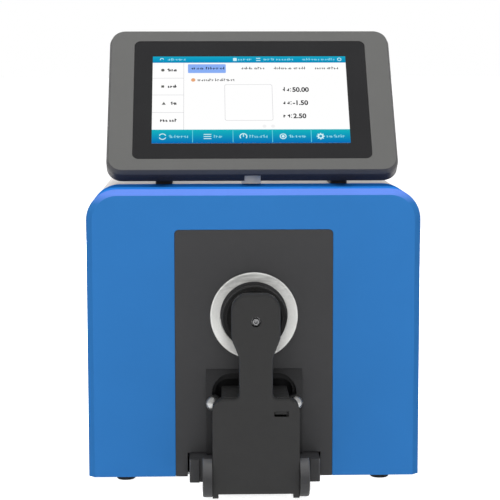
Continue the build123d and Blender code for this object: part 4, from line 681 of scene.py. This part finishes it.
def screw_plan():
    """Pan-head screws with a cross recess at each vertex, heads towards +Z before turning."""
    plan = Plan("pan head screws", Head_radius=0.00275, Head_height=0.0022, Shank_radius=0.0015,
                Shank_length=0.008, Recess=0.62, Sides=28)
    take, times = plan.take, plan.times
    radius, height = take["Head radius"], take["Head height"]
    ball = plan.made("MeshUVSphere", {"Segments": take["Sides"], "Rings": 16, "Radius": 1.0})
    wide = times(radius, 1.04)
    dome = plan.made("Transform", {"Geometry": ball, "Scale": plan.vector(wide, wide, times(height, 1.03))})
    head = plan.solid("INTERSECT", dome, plan.post(radius, height, 0.5))
    reach = times(times(radius, 2.0), take["Recess"])
    narrow, depth = times(reach, 0.24), times(height, 1.2)
    bars = [plan.made("MeshCube", {"Size": plan.vector(*flat, depth)})
            for flat in ((reach, narrow), (narrow, reach))]
    cross = plan.raised(plan.solid("UNION", *bars), height)
    shank = plan.post(take["Shank radius"], take["Shank length"], -0.5)
    return plan.finish(plan.made("JoinGeometry", {0: [plan.solid("DIFFERENCE", cross, first=head), shank]}))


def spring_plan():
    """Wound wire about the local Z axis, starting at the vertex it is given."""
    plan = Plan("wound spring", Coil_radius=0.004, Wire_radius=0.0005, Length=0.008, Turns=3.0)
    coil = plan.take["Coil radius"]
    path = plan.made("CurveSpiral", {"Resolution": 28, "Rotations": plan.take["Turns"], "Start Radius": coil,
                                     "End Radius": coil, "Height": plan.take["Length"]})
    wire = plan.made("CurvePrimitiveCircle", {"Resolution": 12, "Radius": plan.take["Wire radius"]})
    return plan.finish(plan.made("CurveToMesh", {"Curve": path, "Profile Curve": wire, "Fill Caps": True}),
                       smooth=True)


def mark_plan():
    """Small rounded bars, one at each vertex, as wide and tall as its attributes say."""
    plan = Plan("screen marks", Depth=0.00001)
    outline = plan.made("CurvePrimitiveQuadrilateral", {"Width": 1.0, "Height": 1.0})
    outline = plan.made("FilletCurve", {"Curve": outline, "Radius": 0.24, "Count": 3}, mode="POLY")
    flat = plan.made("FillCurve", {"Curve": outline}, mode="NGONS")
    solid = plan.made("ExtrudeMesh", {"Mesh": flat, "Offset Scale": 1.0}, mode="FACES")
    whole = plan.made("JoinGeometry", {0: [solid, plan.made("FlipFaces", {"Mesh": flat})]})
    closed = plan.made("MergeByDistance", {"Geometry": whole, "Distance": 0.0001})
    wide, tall = (plan.made("InputNamedAttribute", {"Name": name}, data_type="FLOAT")
                  for name in ("wide", "tall"))
    return plan.finish(closed, Scale=plan.vector(wide, tall, plan.take["Depth"]))


# ---- Shapes on the screen's face, in millimetres made metres ----
def face_matrix():
    """Frame on the screen's face: X across, Y up the slope and Z out of the face, from its lower edge."""
    glass = [face for face in NODES["touch_glass"].data.polygons if face.normal.y < 0]
    out, across = max(glass, key=lambda face: face.area).normal.normalized(), Vector((1.0, 0.0, 0.0))
    up = out.cross(across)
    points = [vert.co for vert in NODES["screen_frame"].data.vertices]
    matrix = Matrix((across, up, out)).transposed().to_4x4()
    matrix.translation = up * min(p.dot(up) for p in points) + out * max(p.dot(out) for p in points)
    return matrix


def slabs(name, matrix, outlines, low, high, material):
    """Flat closed pieces of the same thickness on the screen's face, from lists of (across, up) points."""
    shape = bmesh.new()
    for outline in outlines:
        bottom, top = ([shape.verts.new(matrix @ Vector((x, y, level))) for x, y in outline]
                       for level in (low, high))
        shape.faces.new(top)
        shape.faces.new(bottom[::-1])
        bridge(shape, bottom, top)
    return built(name, shape, material)


def on_circle(x, y, radius, degrees):
    turned = math.radians(degrees)
    return (x + radius * math.cos(turned)) * MM, (y + radius * math.sin(turned)) * MM


def rectangle(x0, x1, y0, y1, radius=0.0, steps=5):
    """Corner points, with rounded corners where asked."""
    if not radius:
        return [(x * MM, y * MM) for x, y in ((x0, y0), (x1, y0), (x1, y1), (x0, y1))]
    corners = ((x1 - radius, y0 + radius, -90), (x1 - radius, y1 - radius, 0),
               (x0 + radius, y1 - radius, 90), (x0 + radius, y0 + radius, 180))
    return [on_circle(x, y, radius, start + 90 * step / steps)
            for x, y, start in corners for step in range(steps + 1)]


def disc(x, y, radius, sides=24):
    return [on_circle(x, y, radius, 360 * index / sides) for index in range(sides)]


def arc_band(x, y, inner, outer, start=0, sweep=359, sides=20):
    """Part of a flat ring, with angles in degrees."""
    turns = [start + sweep * index / sides for index in range(sides + 1)]
    return ([on_circle(x, y, outer, turn) for turn in turns]
            + [on_circle(x, y, inner, turn) for turn in reversed(turns)])


# ---- Operators ----
class ColorimeterPiece:
    """Shared options of the operators below."""

    bl_options = {"REGISTER", "UNDO"}


class COLORIMETER_OT_casing(ColorimeterPiece, bpy.types.Operator):
    """Finish the hood, cover, dark insert, guide frame, base plate and feet"""

    bl_idname = "colorimeter.casing"
    bl_label = "Casing"

    def execute(self, context):
        look = context.scene.colorimeter.casing
        skin, top = (look.grain, look.grain_depth, look.edge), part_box("front_bezel")[1].z
        # Painted highlight on the slanted edge and painted light on the top behind it: lighter copies of the
        # hood's blue, blended in towards the top
        edges = [moulded(name, look.hood, *skin, painted_tone=(second, "height", *(top - drop for drop in blend)))
                 for name, second, blend in (("hood_bevel", look.bevel, BEVEL_HIGHLIGHT_BLEND),
                                             ("hood_crown", look.crown, CROWN_PAINTED_LIGHT_BLEND))]
        hood = smoothed("front_bezel", "hood", moulded("hood_blue", look.hood, *skin))
        paint(hood, lambda face: face.normal.y, HOOD_TURNS, *edges)
        smoothed("main_cover", "cover", powder_coat("cover_powder_coat", look.cover, look.peel))
        # Painted light: the cap's pale colour stands in for light under the screen
        smoothed("cable_duct", "duct", powder_coat("duct_powder_coat", look.duct, look.peel))
        # Painted shade: the insert turns near black inside the guide frame's box, where the arch's recess
        # lies in shade
        insert = moulded("insert_dark", look.panel, look.grain, look.grain_depth * 1.5, look.edge,
                         painted_tone=(look.recess, "between", *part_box("guide_frame")))
        smoothed("front_panel", "insert", insert)
        smoothed("guide_frame", "guide", moulded("guide_black", look.guide, *skin))
        feet = rubber("foot_rubber", look.rubber)
        for corner in ("front_left", "front_right", "rear_left", "rear_right"):
            smoothed("foot_" + corner, "rubber_foot_" + corner, feet)
        dress(steel("zinc_sheet", look.sheet), "base_plate")
        dress(powder_coat("rear_powder_coat", look.back, look.peel), "rear_panel")
        return {"FINISHED"}


class COLORIMETER_OT_port(ColorimeterPiece, bpy.types.Operator):
    """Finish the brushed ring and the aperture mask"""

    bl_idname = "colorimeter.port"
    bl_label = "Port"

    def execute(self, context):
        look = context.scene.colorimeter.port
        low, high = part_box("aperture_ring")
        # The brushed streaks deepen towards the ring's top as painted shade
        middle, shade_heights = (low + high) / 2, [high.z - drop for drop in RING_STREAK_SHADE]
        face_metal, lip_shaded_metal = (
            brushed_metal(name, base, look.brushing, look.brushing_depth, *shade_heights)
            for name, base in (("brushed_ring", look.ring), ("ring_lip", look.ring_lip)))

        def outwards(face):
            out = face.center - middle
            out.y = 0.0
            return face.normal.dot(out.normalized())

        # Painted shade on the faces turned outwards: darker metal on the lip, and dark sides standing in for
        # the shadow round the ring
        paint(smoothed("aperture_ring", "port_ring", face_metal), outwards, RING_TURNS, lip_shaded_metal,
              steel("ring_edge", look.ring_edge))
        smoothed("aperture_mask", "port_mask", moulded("mask_black", look.mask))
        return {"FINISHED"}


class COLORIMETER_OT_clamp(ColorimeterPiece, bpy.types.Operator):
    """Finish the hinge casting, the arm and the pad"""

    bl_idname = "colorimeter.clamp"
    bl_label = "Clamp"

    def execute(self, context):
        settings = context.scene.colorimeter
        look = settings.clamp
        low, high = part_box("hinge_shaft")
        axis = (low + high) / 2
        # Painted highlight: the barrels' curved faces turn lighter above the hinge's axis
        barrels = moulded("barrel_paint", look.barrel,
                          painted_tone=(look.barrel_top, "height", *(axis.z + rise for rise in BARREL_HIGHLIGHT_BLEND)))
        casting = smoothed("hinge_carrier", "hinge_casting", moulded("casting_paint", look.casting))
        paint(casting, lambda face: -max(abs(value) for value in face.normal), BARREL_TURNS, barrels)
        bright, arm = steel("dome_steel", look.steel), moulded("arm_moulding", look.arm)
        smoothed("dome_screws", "dome_heads", bright)
        smoothed("hinge_shaft", "shaft", bright)
        smoothed("arm_plate", "clamp_arm", arm)
        smoothed("arm_rear_housing", "arm_pocket", arm)
        smoothed("pad_holder", "pad_cup", moulded("pad_cup_moulding", look.cup))
        smoothed("pad_screw", "head_screw", steel("head_screw_oxide", look.oxide))
        self.washers(look, axis, (high.z - low.z) / 2 + look.washer_gap)
        self.rubber_face(rubber("pad_rubber", settings.casing.rubber))
        return {"FINISHED"}

    def washers(self, look, axis, bore, sides=48):
        """Thin friction washers on the shaft, between the arm and the barrels on each side."""
        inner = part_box("arm_plate")[1].x + look.washer_gap
        outer, rim = inner + look.washer, look.washer_radius
        shape = bmesh.new()
        for side in (-1, 1):
            rings = []
            for step in range(sides):
                turn = math.tau * step / sides
                rings.append([shape.verts.new((side * x, axis.y + radius * math.cos(turn),
                                               axis.z + radius * math.sin(turn)))
                              for x, radius in ((inner, bore), (outer, bore), (outer, rim), (inner, rim))])
            for step in range(sides):
                bridge(shape, rings[step], rings[(step + 1) % sides])
        bmesh.ops.recalc_face_normals(shape, faces=shape.faces)
        keep(built("hinge_washers", shape, moulded("washer_black", look.cup)), "base", SLOT_OF["pad_holder"])

    def rubber_face(self, material, merge=0.00001):
        """Turned rubber facing of the pad: a soft lip, a shallow dish and a fine moulded ring."""
        low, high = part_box("sample_pad")
        centre, radius, thick = (low + high) / 2, (high.x - low.x) / 2, high.y - low.y
        bend = min(thick * 0.45, radius * 0.12)
        profile = [(radius * part, 0.0) for part in (0.0, 0.3, 0.6, 0.8, 0.9)]
        for step in range(9):
            turn = math.radians(-90 + step * 22.5)
            profile.append((radius - bend + bend * math.cos(turn), bend + bend * math.sin(turn)))
        for part, height in ((0.90, 1.0), (0.84, 0.86), (0.80, 0.84), (0.4, 0.80), (0.0, 0.78)):
            profile.append((radius * part, max(bend, thick * height)))
        mesh = bpy.data.meshes.new("rubber_face")
        mesh.from_pydata([(x, 0.0, z) for x, z in profile],
                         [(index, index + 1) for index in range(len(profile) - 1)], [])
        obj = add_object("rubber_face", mesh)
        spin = obj.modifiers.new("turned", "SCREW")
        spin.steps = spin.render_steps = 72
        spin.use_merge_vertices, spin.merge_threshold = True, merge
        shape = welded(settled(obj).data, merge)
        shape.transform(Matrix.Translation((centre.x, low.y, centre.z))
                        @ Matrix.Rotation(math.radians(-90), 4, "X"))
        bmesh.ops.recalc_face_normals(shape, faces=shape.faces)
        for face in shape.faces:
            face.smooth = True
        shape.to_mesh(obj.data)
        shape.free()
        obj.data.materials.append(material)
        keep(obj, "pad", SLOT_OF["sample_pad"], "sample_pad")


class COLORIMETER_OT_springs(ColorimeterPiece, bpy.types.Operator):
    """Wind the pad spring and finish the arm's return spring"""

    bl_idname = "colorimeter.springs"
    bl_label = "Springs"

    def execute(self, context):
        look = context.scene.colorimeter.clamp
        wire = steel("spring_wire", look.spring)
        smoothed("arm_spring", "return_spring", wire)
        low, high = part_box("pad_spring")
        middle = (low + high) / 2
        start = points_object("pad_coil", [(middle.x, low.y + look.wire, middle.z)])
        spring_plan().run(start, Coil_radius=(high.x - low.x) / 2 - look.wire, Wire_radius=look.wire,
                          Length=high.y - low.y - 2 * look.wire, Turns=look.turns,
                          Turn=(math.radians(-90), 0.0, 0.0), Material=wire)
        keep(start, "arm", SLOT_OF["pad_spring"], "pad_spring")
        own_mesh(start)
        return {"FINISHED"}


class COLORIMETER_OT_fasteners(ColorimeterPiece, bpy.types.Operator):
    """Set cross-recessed screws where the frame has plain ones"""

    bl_idname = "colorimeter.fasteners"
    bl_label = "Fasteners"

    def execute(self, context):
        settings = context.scene.colorimeter
        zinc, plan = steel("screw_zinc", settings.clamp.zinc), screw_plan()
        for node, axis in (("rear_screws", 1), ("foot_screws", 2), ("carrier_screws", 2),
                           ("bracket_screws", 2), ("flange_screws", 1)):
            places, sizes = zip(*(self.seat(node, axis, *box) for box in islands(node)))
            start = points_object(node + "_recessed", places)
            plan.run(start, Recess=settings.fasteners.recess, Sides=settings.fasteners.sides, Material=zinc,
                     **sizes[0])
            keep(start, BODY_OF[node], SLOT_OF[node], node)
        return {"FINISHED"}

    def seat(self, node, axis, low, high, slack=1e-6, clear=0.0005):
        """Place and sizes of the screw in a box of a CAD node whose screws lie along one axis."""
        inside = [vert.co for vert in NODES[node].data.vertices
                  if all(low[i] - slack <= vert.co[i] <= high[i] + slack for i in range(3))]
        place = (low + high) / 2
        reach = [math.hypot(*(p[i] - place[i] for i in range(3) if i != axis)) for p in inside]
        head = max(reach)
        rim = [p[axis] for p, r in zip(inside, reach) if r > head * 0.9]
        facing = 1 if high[axis] - max(rim) < min(rim) - low[axis] else -1
        base, tip, crown = (min(rim), low, high) if facing > 0 else (max(rim), high, low)
        shank = max(r for p, r in zip(inside, reach) if (p[axis] - base) * facing < -clear)
        place[axis] = base
        aim = Vector(facing if i == axis else 0 for i in range(3))
        return tuple(place), {
            "Head_radius": head, "Head_height": abs(crown[axis] - base), "Shank_radius": shank,
            "Shank_length": abs(tip[axis] - base), "Turn": tuple(aim.to_track_quat("Z", "Y").to_euler())}


class COLORIMETER_OT_optics(ColorimeterPiece, bpy.types.Operator):
    """Finish what lies inside: spheres, lamp, detector, spectrometer and boards"""

    bl_idname = "colorimeter.optics"
    bl_label = "Optics"

    def execute(self, context):
        look = context.scene.colorimeter.casing
        coating = powder_coat("sphere_coating", linear(236, 234, 228), 0.0008, 0.00001)
        for node in ("sphere_front", "sphere_rear"):
            smoothed(node, node + "_coated", coating)
        dress(moulded("anodised_black", linear(40, 40, 42)), "lamp_housing", "detector_tube")
        dress(steel("milled_alloy", linear(188, 190, 192)), "spectrometer", "spectrometer_table")
        dress(steel("bent_sheet", look.sheet), "sphere_stand", "capacitor_clip", "board_standoffs")
        dress(clear_glass("lamp_envelope", (0.95, 0.96, 0.98, 1.0)), "flash_lamp")
        smoothed("detector_lens", "collecting_lens", clear_glass("lens_crown_glass", (0.96, 0.98, 0.99, 1.0)))
        smoothed("flash_capacitor", "storage_capacitor", moulded("capacitor_sleeve", linear(32, 44, 96)))
        dress(circuit_board("main_circuit_board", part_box("main_board")[0].z + BOARD_TOP), "main_board")
        dress(circuit_board("screen_circuit_board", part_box("screen_board")[1].z + 0.01), "screen_board")
        return {"FINISHED"}


class COLORIMETER_OT_rear(ColorimeterPiece, bpy.types.Operator):
    """Finish the power inlet, the rocker and the data socket"""

    bl_idname = "colorimeter.rear"
    bl_label = "Rear fittings"

    def execute(self, context):
        dress(moulded("fitting_black", linear(34, 34, 35)), "switch_frame", "power_inlet")
        dress(steel("tinned_socket", linear(188, 189, 190)), "usb_port")
        smoothed("power_rocker", "rocker_cap", moulded("rocker_black", linear(26, 26, 27)))
        return {"FINISHED"}


class COLORIMETER_OT_screen(ColorimeterPiece, bpy.types.Operator):
    """Finish the screen's frame and shell, and light its panel"""

    bl_idname = "colorimeter.screen"
    bl_label = "Screen"

    def execute(self, context):
        settings = context.scene.colorimeter
        look = settings.screen
        self.face, self.level = face_matrix(), -look.sunk
        self.out = self.face.to_3x3() @ Vector((0, 0, 1))
        shell = moulded("shell_dark", look.shell)
        surround = smoothed("screen_frame", "screen_surround", moulded("surround_grey", look.housing))
        paint(surround, lambda face: -face.normal.dot(self.out), SCREEN_TURNS,
              moulded("surround_flare", look.flare), shell)
        smoothed("screen_back", "screen_shell", shell)
        for side in ("left", "right"):
            smoothed("tilt_bracket_" + side, "bracket_" + side, shell)
        smoothed("tilt_pins", "pins", steel("pin_steel", settings.clamp.steel))
        dress(border_glass("border_glass", look.glass), "touch_glass")
        dress(moulded("panel_backing", linear(30, 30, 34)), "lcd_module")
        self.panel(look)
        ink = lit("ink_dark", look.ink)
        self.writing(look, ink)
        self.icons(lit("ink_dim", look.dim), lit("icon_white", look.icon))
        self.numbers(look, ink)
        return {"FINISHED"}

    def layer(self, name, material, *outlines, step=2):
        """Flat shapes just above the glass, higher for each step."""
        low = self.level + (FILM if step > 1 else -FILM)
        obj = slabs(name, self.face, outlines, low, self.level + FILM * (step + 1), material)
        return keep(obj, "screen", "lcd_panel")

    def rise(self, *edges):
        """Heights above the bench of lines across the face."""
        return [(self.face @ Vector((0, edge * MM, 0))).z for edge in edges]

    def panel(self, look, half=0.15):
        """Lit panel with its bars, column, tab and card."""
        low, high = look.foot_lit / MM, (look.foot_lit + look.height_lit) / MM
        left, right = -look.side_lit / MM, (look.width_lit - look.side_lit) / MM
        bar, title = low + BUTTON_BAR, high - TITLE_BAR
        white = lit("panel_white", WHITE, fine=0.004)
        self.layer("lit_panel", white, rectangle(left, right, low, high), step=1)
        self.layer("lit_button_bar", lit("bar_blend", look.bar_lower, look.bar_upper, *self.rise(low, bar)),
                   rectangle(left, right, low, bar))
        self.layer("lit_title_bar", lit("title_blue", look.title_lower, look.title_upper,
                                        *self.rise(title, high)), rectangle(left, right, title, high))
        self.layer("lit_tab", lit("tab_blue", look.tab), rectangle(-49.8, -19.6, 95.8, 104.7, 0.8))
        self.layer("lit_mark", lit("mark_orange", look.mark), disc(-45.6, 88.8, 1.75))
        self.layer("lit_rules", lit("rule_grey", look.rule),
                   rectangle(COLUMN - half, COLUMN + half, bar, title),
                   *(rectangle(left, COLUMN, row - half, row + half) for row in RULES))
        self.layer("lit_card_edge", lit("card_edge_grey", look.card), rectangle(-20.9, 17.0, 48.5, 84.3, 1.6))
        self.layer("lit_card", white, rectangle(-20.5, 16.6, 48.9, 83.9, 1.4), step=3)
        self.layer("lit_page_dots", lit("dot_grey", look.dot), *(disc(x, 43.0, 1.5) for x in (9.9, 16.6)))
        self.layer("lit_dividers", lit("divider_white", look.divider),
                   *(rectangle(x - 0.25, x + 0.25, low + 0.8, bar - 0.6) for x in (-46.2, -14.8, 15.9, 46.1)),
                   step=3)

    def words(self, source, middle, size, weight, *stretches):
        """Strokes as wide and tall as small letters would be, from start to end; none is a letter."""
        marks = []
        for start, end, letters in stretches:
            strokes, x = [], 0.0
            for count in letters:
                for _ in range(count):
                    wide = source.choice((0.40, 0.50, 0.54, 0.60))
                    tall = source.choice((0.62, 0.62, 0.72, 0.95))
                    side = source.choice((0.0, wide - 0.22))
                    level = source.choice((0.34, 0.66)) * tall
                    strokes += [(x + side + 0.11, (tall - 0.80) / 2, weight, tall),
                                (x + wide / 2, level - 0.40, wide * 0.86, weight * 0.9)]
                    x += wide + 0.10
                x += 0.32
            scale = (end - start) / (x - 0.42)
            marks += [(start + place * scale, middle + rise * size, wide * scale, tall * size)
                      for place, rise, wide, tall in strokes]
        return marks

    def place_marks(self, name, marks, material, step=4):
        high = self.level + FILM * step
        start = points_object(name, [self.face @ Vector((x * MM, y * MM, high - FILM * 1.5))
                                     for x, y, _, _ in marks],
                              wide=[wide * MM for _, _, wide, _ in marks],
                              tall=[tall * MM for *_, tall in marks])
        mark_plan().run(start, Depth=FILM * 2, Turn=tuple(self.face.to_euler()), Material=material)
        return keep(start, "screen", "lcd_panel")

    def writing(self, look, ink):
        """Small marks in the place of words, dark on the page and pale on the bars."""
        source = random.Random(12)
        dark = self.words(source, 100.5, 2.9, 0.19, (-7.5, 11.1, (5, 5)), (18.5, 43.7, (8, 5)),
                          (51.7, 70.2, (5, 5)), (-47.4, -20.8, (5, 7)))
        dark += self.words(source, 88.7, 3.1, 0.19, (-42.4, -13.0, (8, 9)))
        for middle, start, letters in ((98.7, -66.3, (5,)), (82.3, -65.6, (4,)), (65.4, -63.5, (3,)),
                                       (48.8, -71.4, (3, 3))):
            dark += self.words(source, middle, 3.3, 0.28, (start, -58.6, letters))
        for middle in ROWS:
            dark += self.words(source, middle, 4.4, 0.26, (25.1, 30.2, (1, 1)))
            dark += [(COLON, middle + rise, 0.8, 0.8) for rise in (-1.6, 0.8)]
        self.place_marks("label_marks", dark, ink)
        pale = self.words(source, 33.1, 3.1, 0.19, (-64.8, -49.7, (8,)), (-29.7, -23.1, (4,)),
                          (-2.0, 12.0, (7,)), (28.5, 42.0, (6,)), (58.1, 72.3, (8,)))
        pale += self.words(source, TITLE_LINE, 2.6, 0.19, (-66.2, -51.8, (7,)), (-9.7, 1.3, (5,)),
                           (10.3, 34.4, (5, 7)), (41.5, 67.6, (8, 7)))
        self.place_marks("button_marks", pale, lit("label_white", look.label))

    def icons(self, ink, pale, y=BUTTON_LINE, title=TITLE_LINE):
        """Plain icons: a loop, a ruled list, a dial, a lens and a cog below; small shapes in the column."""
        loop = [arc_band(-69.5, y, 2.2, 3.0, start, 140) for start in (20, 200)]
        ruled = [rectangle(-37.6, -31.6, y + shift - 0.35, y + shift + 0.35) for shift in (-2.0, 0.0, 2.0)]
        dial = [arc_band(-6.7, y, 2.2, 3.1, -40, 260), rectangle(-7.05, -6.35, y - 0.3, y + 2.4)]
        lens = [arc_band(24.2, y, 1.9, 2.7), disc(24.2, y, 1.2)]
        cog = [arc_band(53.4, y, 1.2, 2.4)]
        for step in range(8):
            turn = math.radians(45 * step)
            x, z = 53.4 + 2.7 * math.cos(turn), y + 2.7 * math.sin(turn)
            cog.append(rectangle(x - 0.45, x + 0.45, z - 0.45, z + 0.45))
        above = [arc_band(71.6, title, 1.1, 1.7), rectangle(-13.7, -10.7, 108.0, 111.0, 0.5),
                 arc_band(-70.6, title, 0.9, 1.5, 0, 200), rectangle(4.8, 8.2, 110.3, 111.0),
                 rectangle(4.8, 8.2, 108.1, 108.8)]
        self.layer("button_icons", pale, *loop, *ruled, *dial, *lens, *cog, *above, step=3)
        peak = [(x * MM, z * MM) for x, z in ((-70.4, 64.2), (-67.2, 64.2), (-68.8, 67.0))]
        self.layer("column_icons", ink, disc(-69.8, 98.7, 1.4), rectangle(-70.9, -68.6, 81.2, 83.4, 0.4),
                   peak, step=3)

    def numbers(self, look, ink):
        """Three plain numbers in a column, made mesh."""
        shape = bmesh.new()
        for row, figures in enumerate(look.figures.split()):
            curve = bpy.data.curves.new("figures", "FONT")
            curve.body, curve.size, curve.offset = figures, look.text_height, 0.0002
            holder = add_object("figures", curve)
            flat = plain_mesh(holder)
            place = Matrix.Translation((FIGURES[0] * MM, (FIGURES[1] - FIGURE_ROWS * row) * MM,
                                        self.level + FILM * 3))
            flat.transform(self.face @ place @ Matrix.Diagonal((look.narrow, 1.0, 1.0, 1.0)))
            shape.from_mesh(flat)
            bpy.data.objects.remove(holder)
            bpy.data.curves.remove(curve)
            bpy.data.meshes.remove(flat)
        bmesh.ops.remove_doubles(shape, verts=shape.verts, dist=0.000001)
        solid = bmesh.ops.extrude_face_region(shape, geom=shape.faces[:])
        raised = [item for item in solid["geom"] if isinstance(item, bmesh.types.BMVert)]
        bmesh.ops.translate(shape, verts=raised, vec=self.out * FILM)
        bmesh.ops.recalc_face_normals(shape, faces=shape.faces)
        in_order(shape)
        keep(built("reading_figures", shape, ink), "screen", "lcd_panel")


class COLORIMETER_OT_stage(ColorimeterPiece, bpy.types.Operator):
    """Set the floor, the room light, the lamps and the camera"""

    bl_idname = "colorimeter.stage"
    bl_label = "Studio"

    def execute(self, context):
        look = context.scene.colorimeter.studio
        context.scene.view_settings.view_transform = "Standard"
        self.floor(look)
        self.room(context.scene, look)
        for name, (size, place, aim) in LAMPS.items():
            self.lamp(name + "_lamp", getattr(look, name), size, Vector(place), Vector(aim))
        self.camera(context.scene, look)
        return {"FINISHED"}

    def floor(self, look, reach=30.0):
        mesh = bpy.data.meshes.new("studio_floor")
        corners = ((-1, -1), (1, -1), (1, 1), (-1, 1))
        mesh.from_pydata([(x * reach, y * reach, 0) for x, y in corners], [], [(0, 1, 2, 3)])
        finish = Finish("studio_floor_paper")
        fibre = finish.noise(0.004, 3.0)
        finish.set(colour=finish.tinted(look.floor, 0.4, 0.01), roughness=finish.spread(fibre, 0.85, 0.95),
                   specular=0.05, normal=finish.bump(fibre, 0.00002), glow=WHITE,
                   strength=finish.maths("MULTIPLY", finish.seen(), look.floor_lift))
        add_object("studio_floor", mesh, finish.material)

    def room(self, scene, look):
        """Even light, with plain white where the camera, metal or glass sees it."""
        scene.world = bpy.data.worlds.new("studio_room")
        scene.world.use_nodes = True
        tree = Tree(scene.world.node_tree)
        even, white = (tree.made("Background", {"Color": WHITE, "Strength": strength})
                       for strength in (look.room, 1.0))
        tree.add("OutputWorld", {0: tree.made("MixShader", {0: tree.seen(), 1: even, 2: white})})

    def lamp(self, name, power, size, place, aim):
        data = bpy.data.lights.new(name, "AREA")
        data.energy, data.size, data.shape = power, size, "DISK"
        obj = add_object(name, data)
        obj.location = place
        obj.rotation_euler = (aim - place).to_track_quat("-Z", "Y").to_euler()
        obj.visible_glossy = False

    def camera(self, scene, look):
        data = bpy.data.cameras.new("studio_camera")
        data.lens, data.sensor_width, data.sensor_fit = look.lens, 36.0, "HORIZONTAL"
        data.clip_start, data.clip_end = 0.05, 100.0
        obj = add_object("studio_camera", data)
        level = math.cos(look.down)
        forward = Vector((math.sin(look.turn) * level, math.cos(look.turn) * level, -math.sin(look.down)))
        turned = forward.to_track_quat("-Z", "Y").to_matrix() @ Matrix.Rotation(look.roll, 3, "Z")
        obj.matrix_world = Matrix.Translation(look.place) @ turned.to_4x4()
        scene.camera = obj


class COLORIMETER_PT_panel(bpy.types.Panel):
    """Pieces and settings of the colorimeter"""

    bl_idname = "COLORIMETER_PT_panel"
    bl_label = "Colorimeter"
    bl_space_type = "VIEW_3D"
    bl_region_type = "UI"
    bl_category = "Colorimeter"

    def draw(self, context):
        for operator in OPERATORS:
            self.layout.operator(operator.bl_idname)
        for part in ("casing", "port", "clamp", "screen", "fasteners", "studio"):
            box = self.layout.box()
            box.label(text=part.capitalize())
            group = getattr(context.scene.colorimeter, part)
            for key in group.bl_rna.properties.keys():
                if key not in ("rna_type", "name"):
                    box.prop(group, key)


OPERATORS = (COLORIMETER_OT_stage, COLORIMETER_OT_casing, COLORIMETER_OT_port, COLORIMETER_OT_clamp,
             COLORIMETER_OT_springs, COLORIMETER_OT_fasteners, COLORIMETER_OT_optics, COLORIMETER_OT_rear,
             COLORIMETER_OT_screen)
CLASSES = (CasingSettings, PortSettings, ClampSettings, ScreenSettings, FastenerSettings, StudioSettings,
           ColorimeterSettings, *OPERATORS, COLORIMETER_PT_panel)


def register():
    for item in CLASSES:
        bpy.utils.register_class(item)
    bpy.types.Scene.colorimeter = PointerProperty(type=ColorimeterSettings)


def unregister():
    del bpy.types.Scene.colorimeter
    for item in reversed(CLASSES):
        bpy.utils.unregister_class(item)


def main():
    register()
    for piece in ("stage", "casing", "port", "clamp", "springs", "fasteners", "optics", "rear", "screen"):
        getattr(bpy.ops.colorimeter, piece)()


if __name__ == "__main__":
    main()
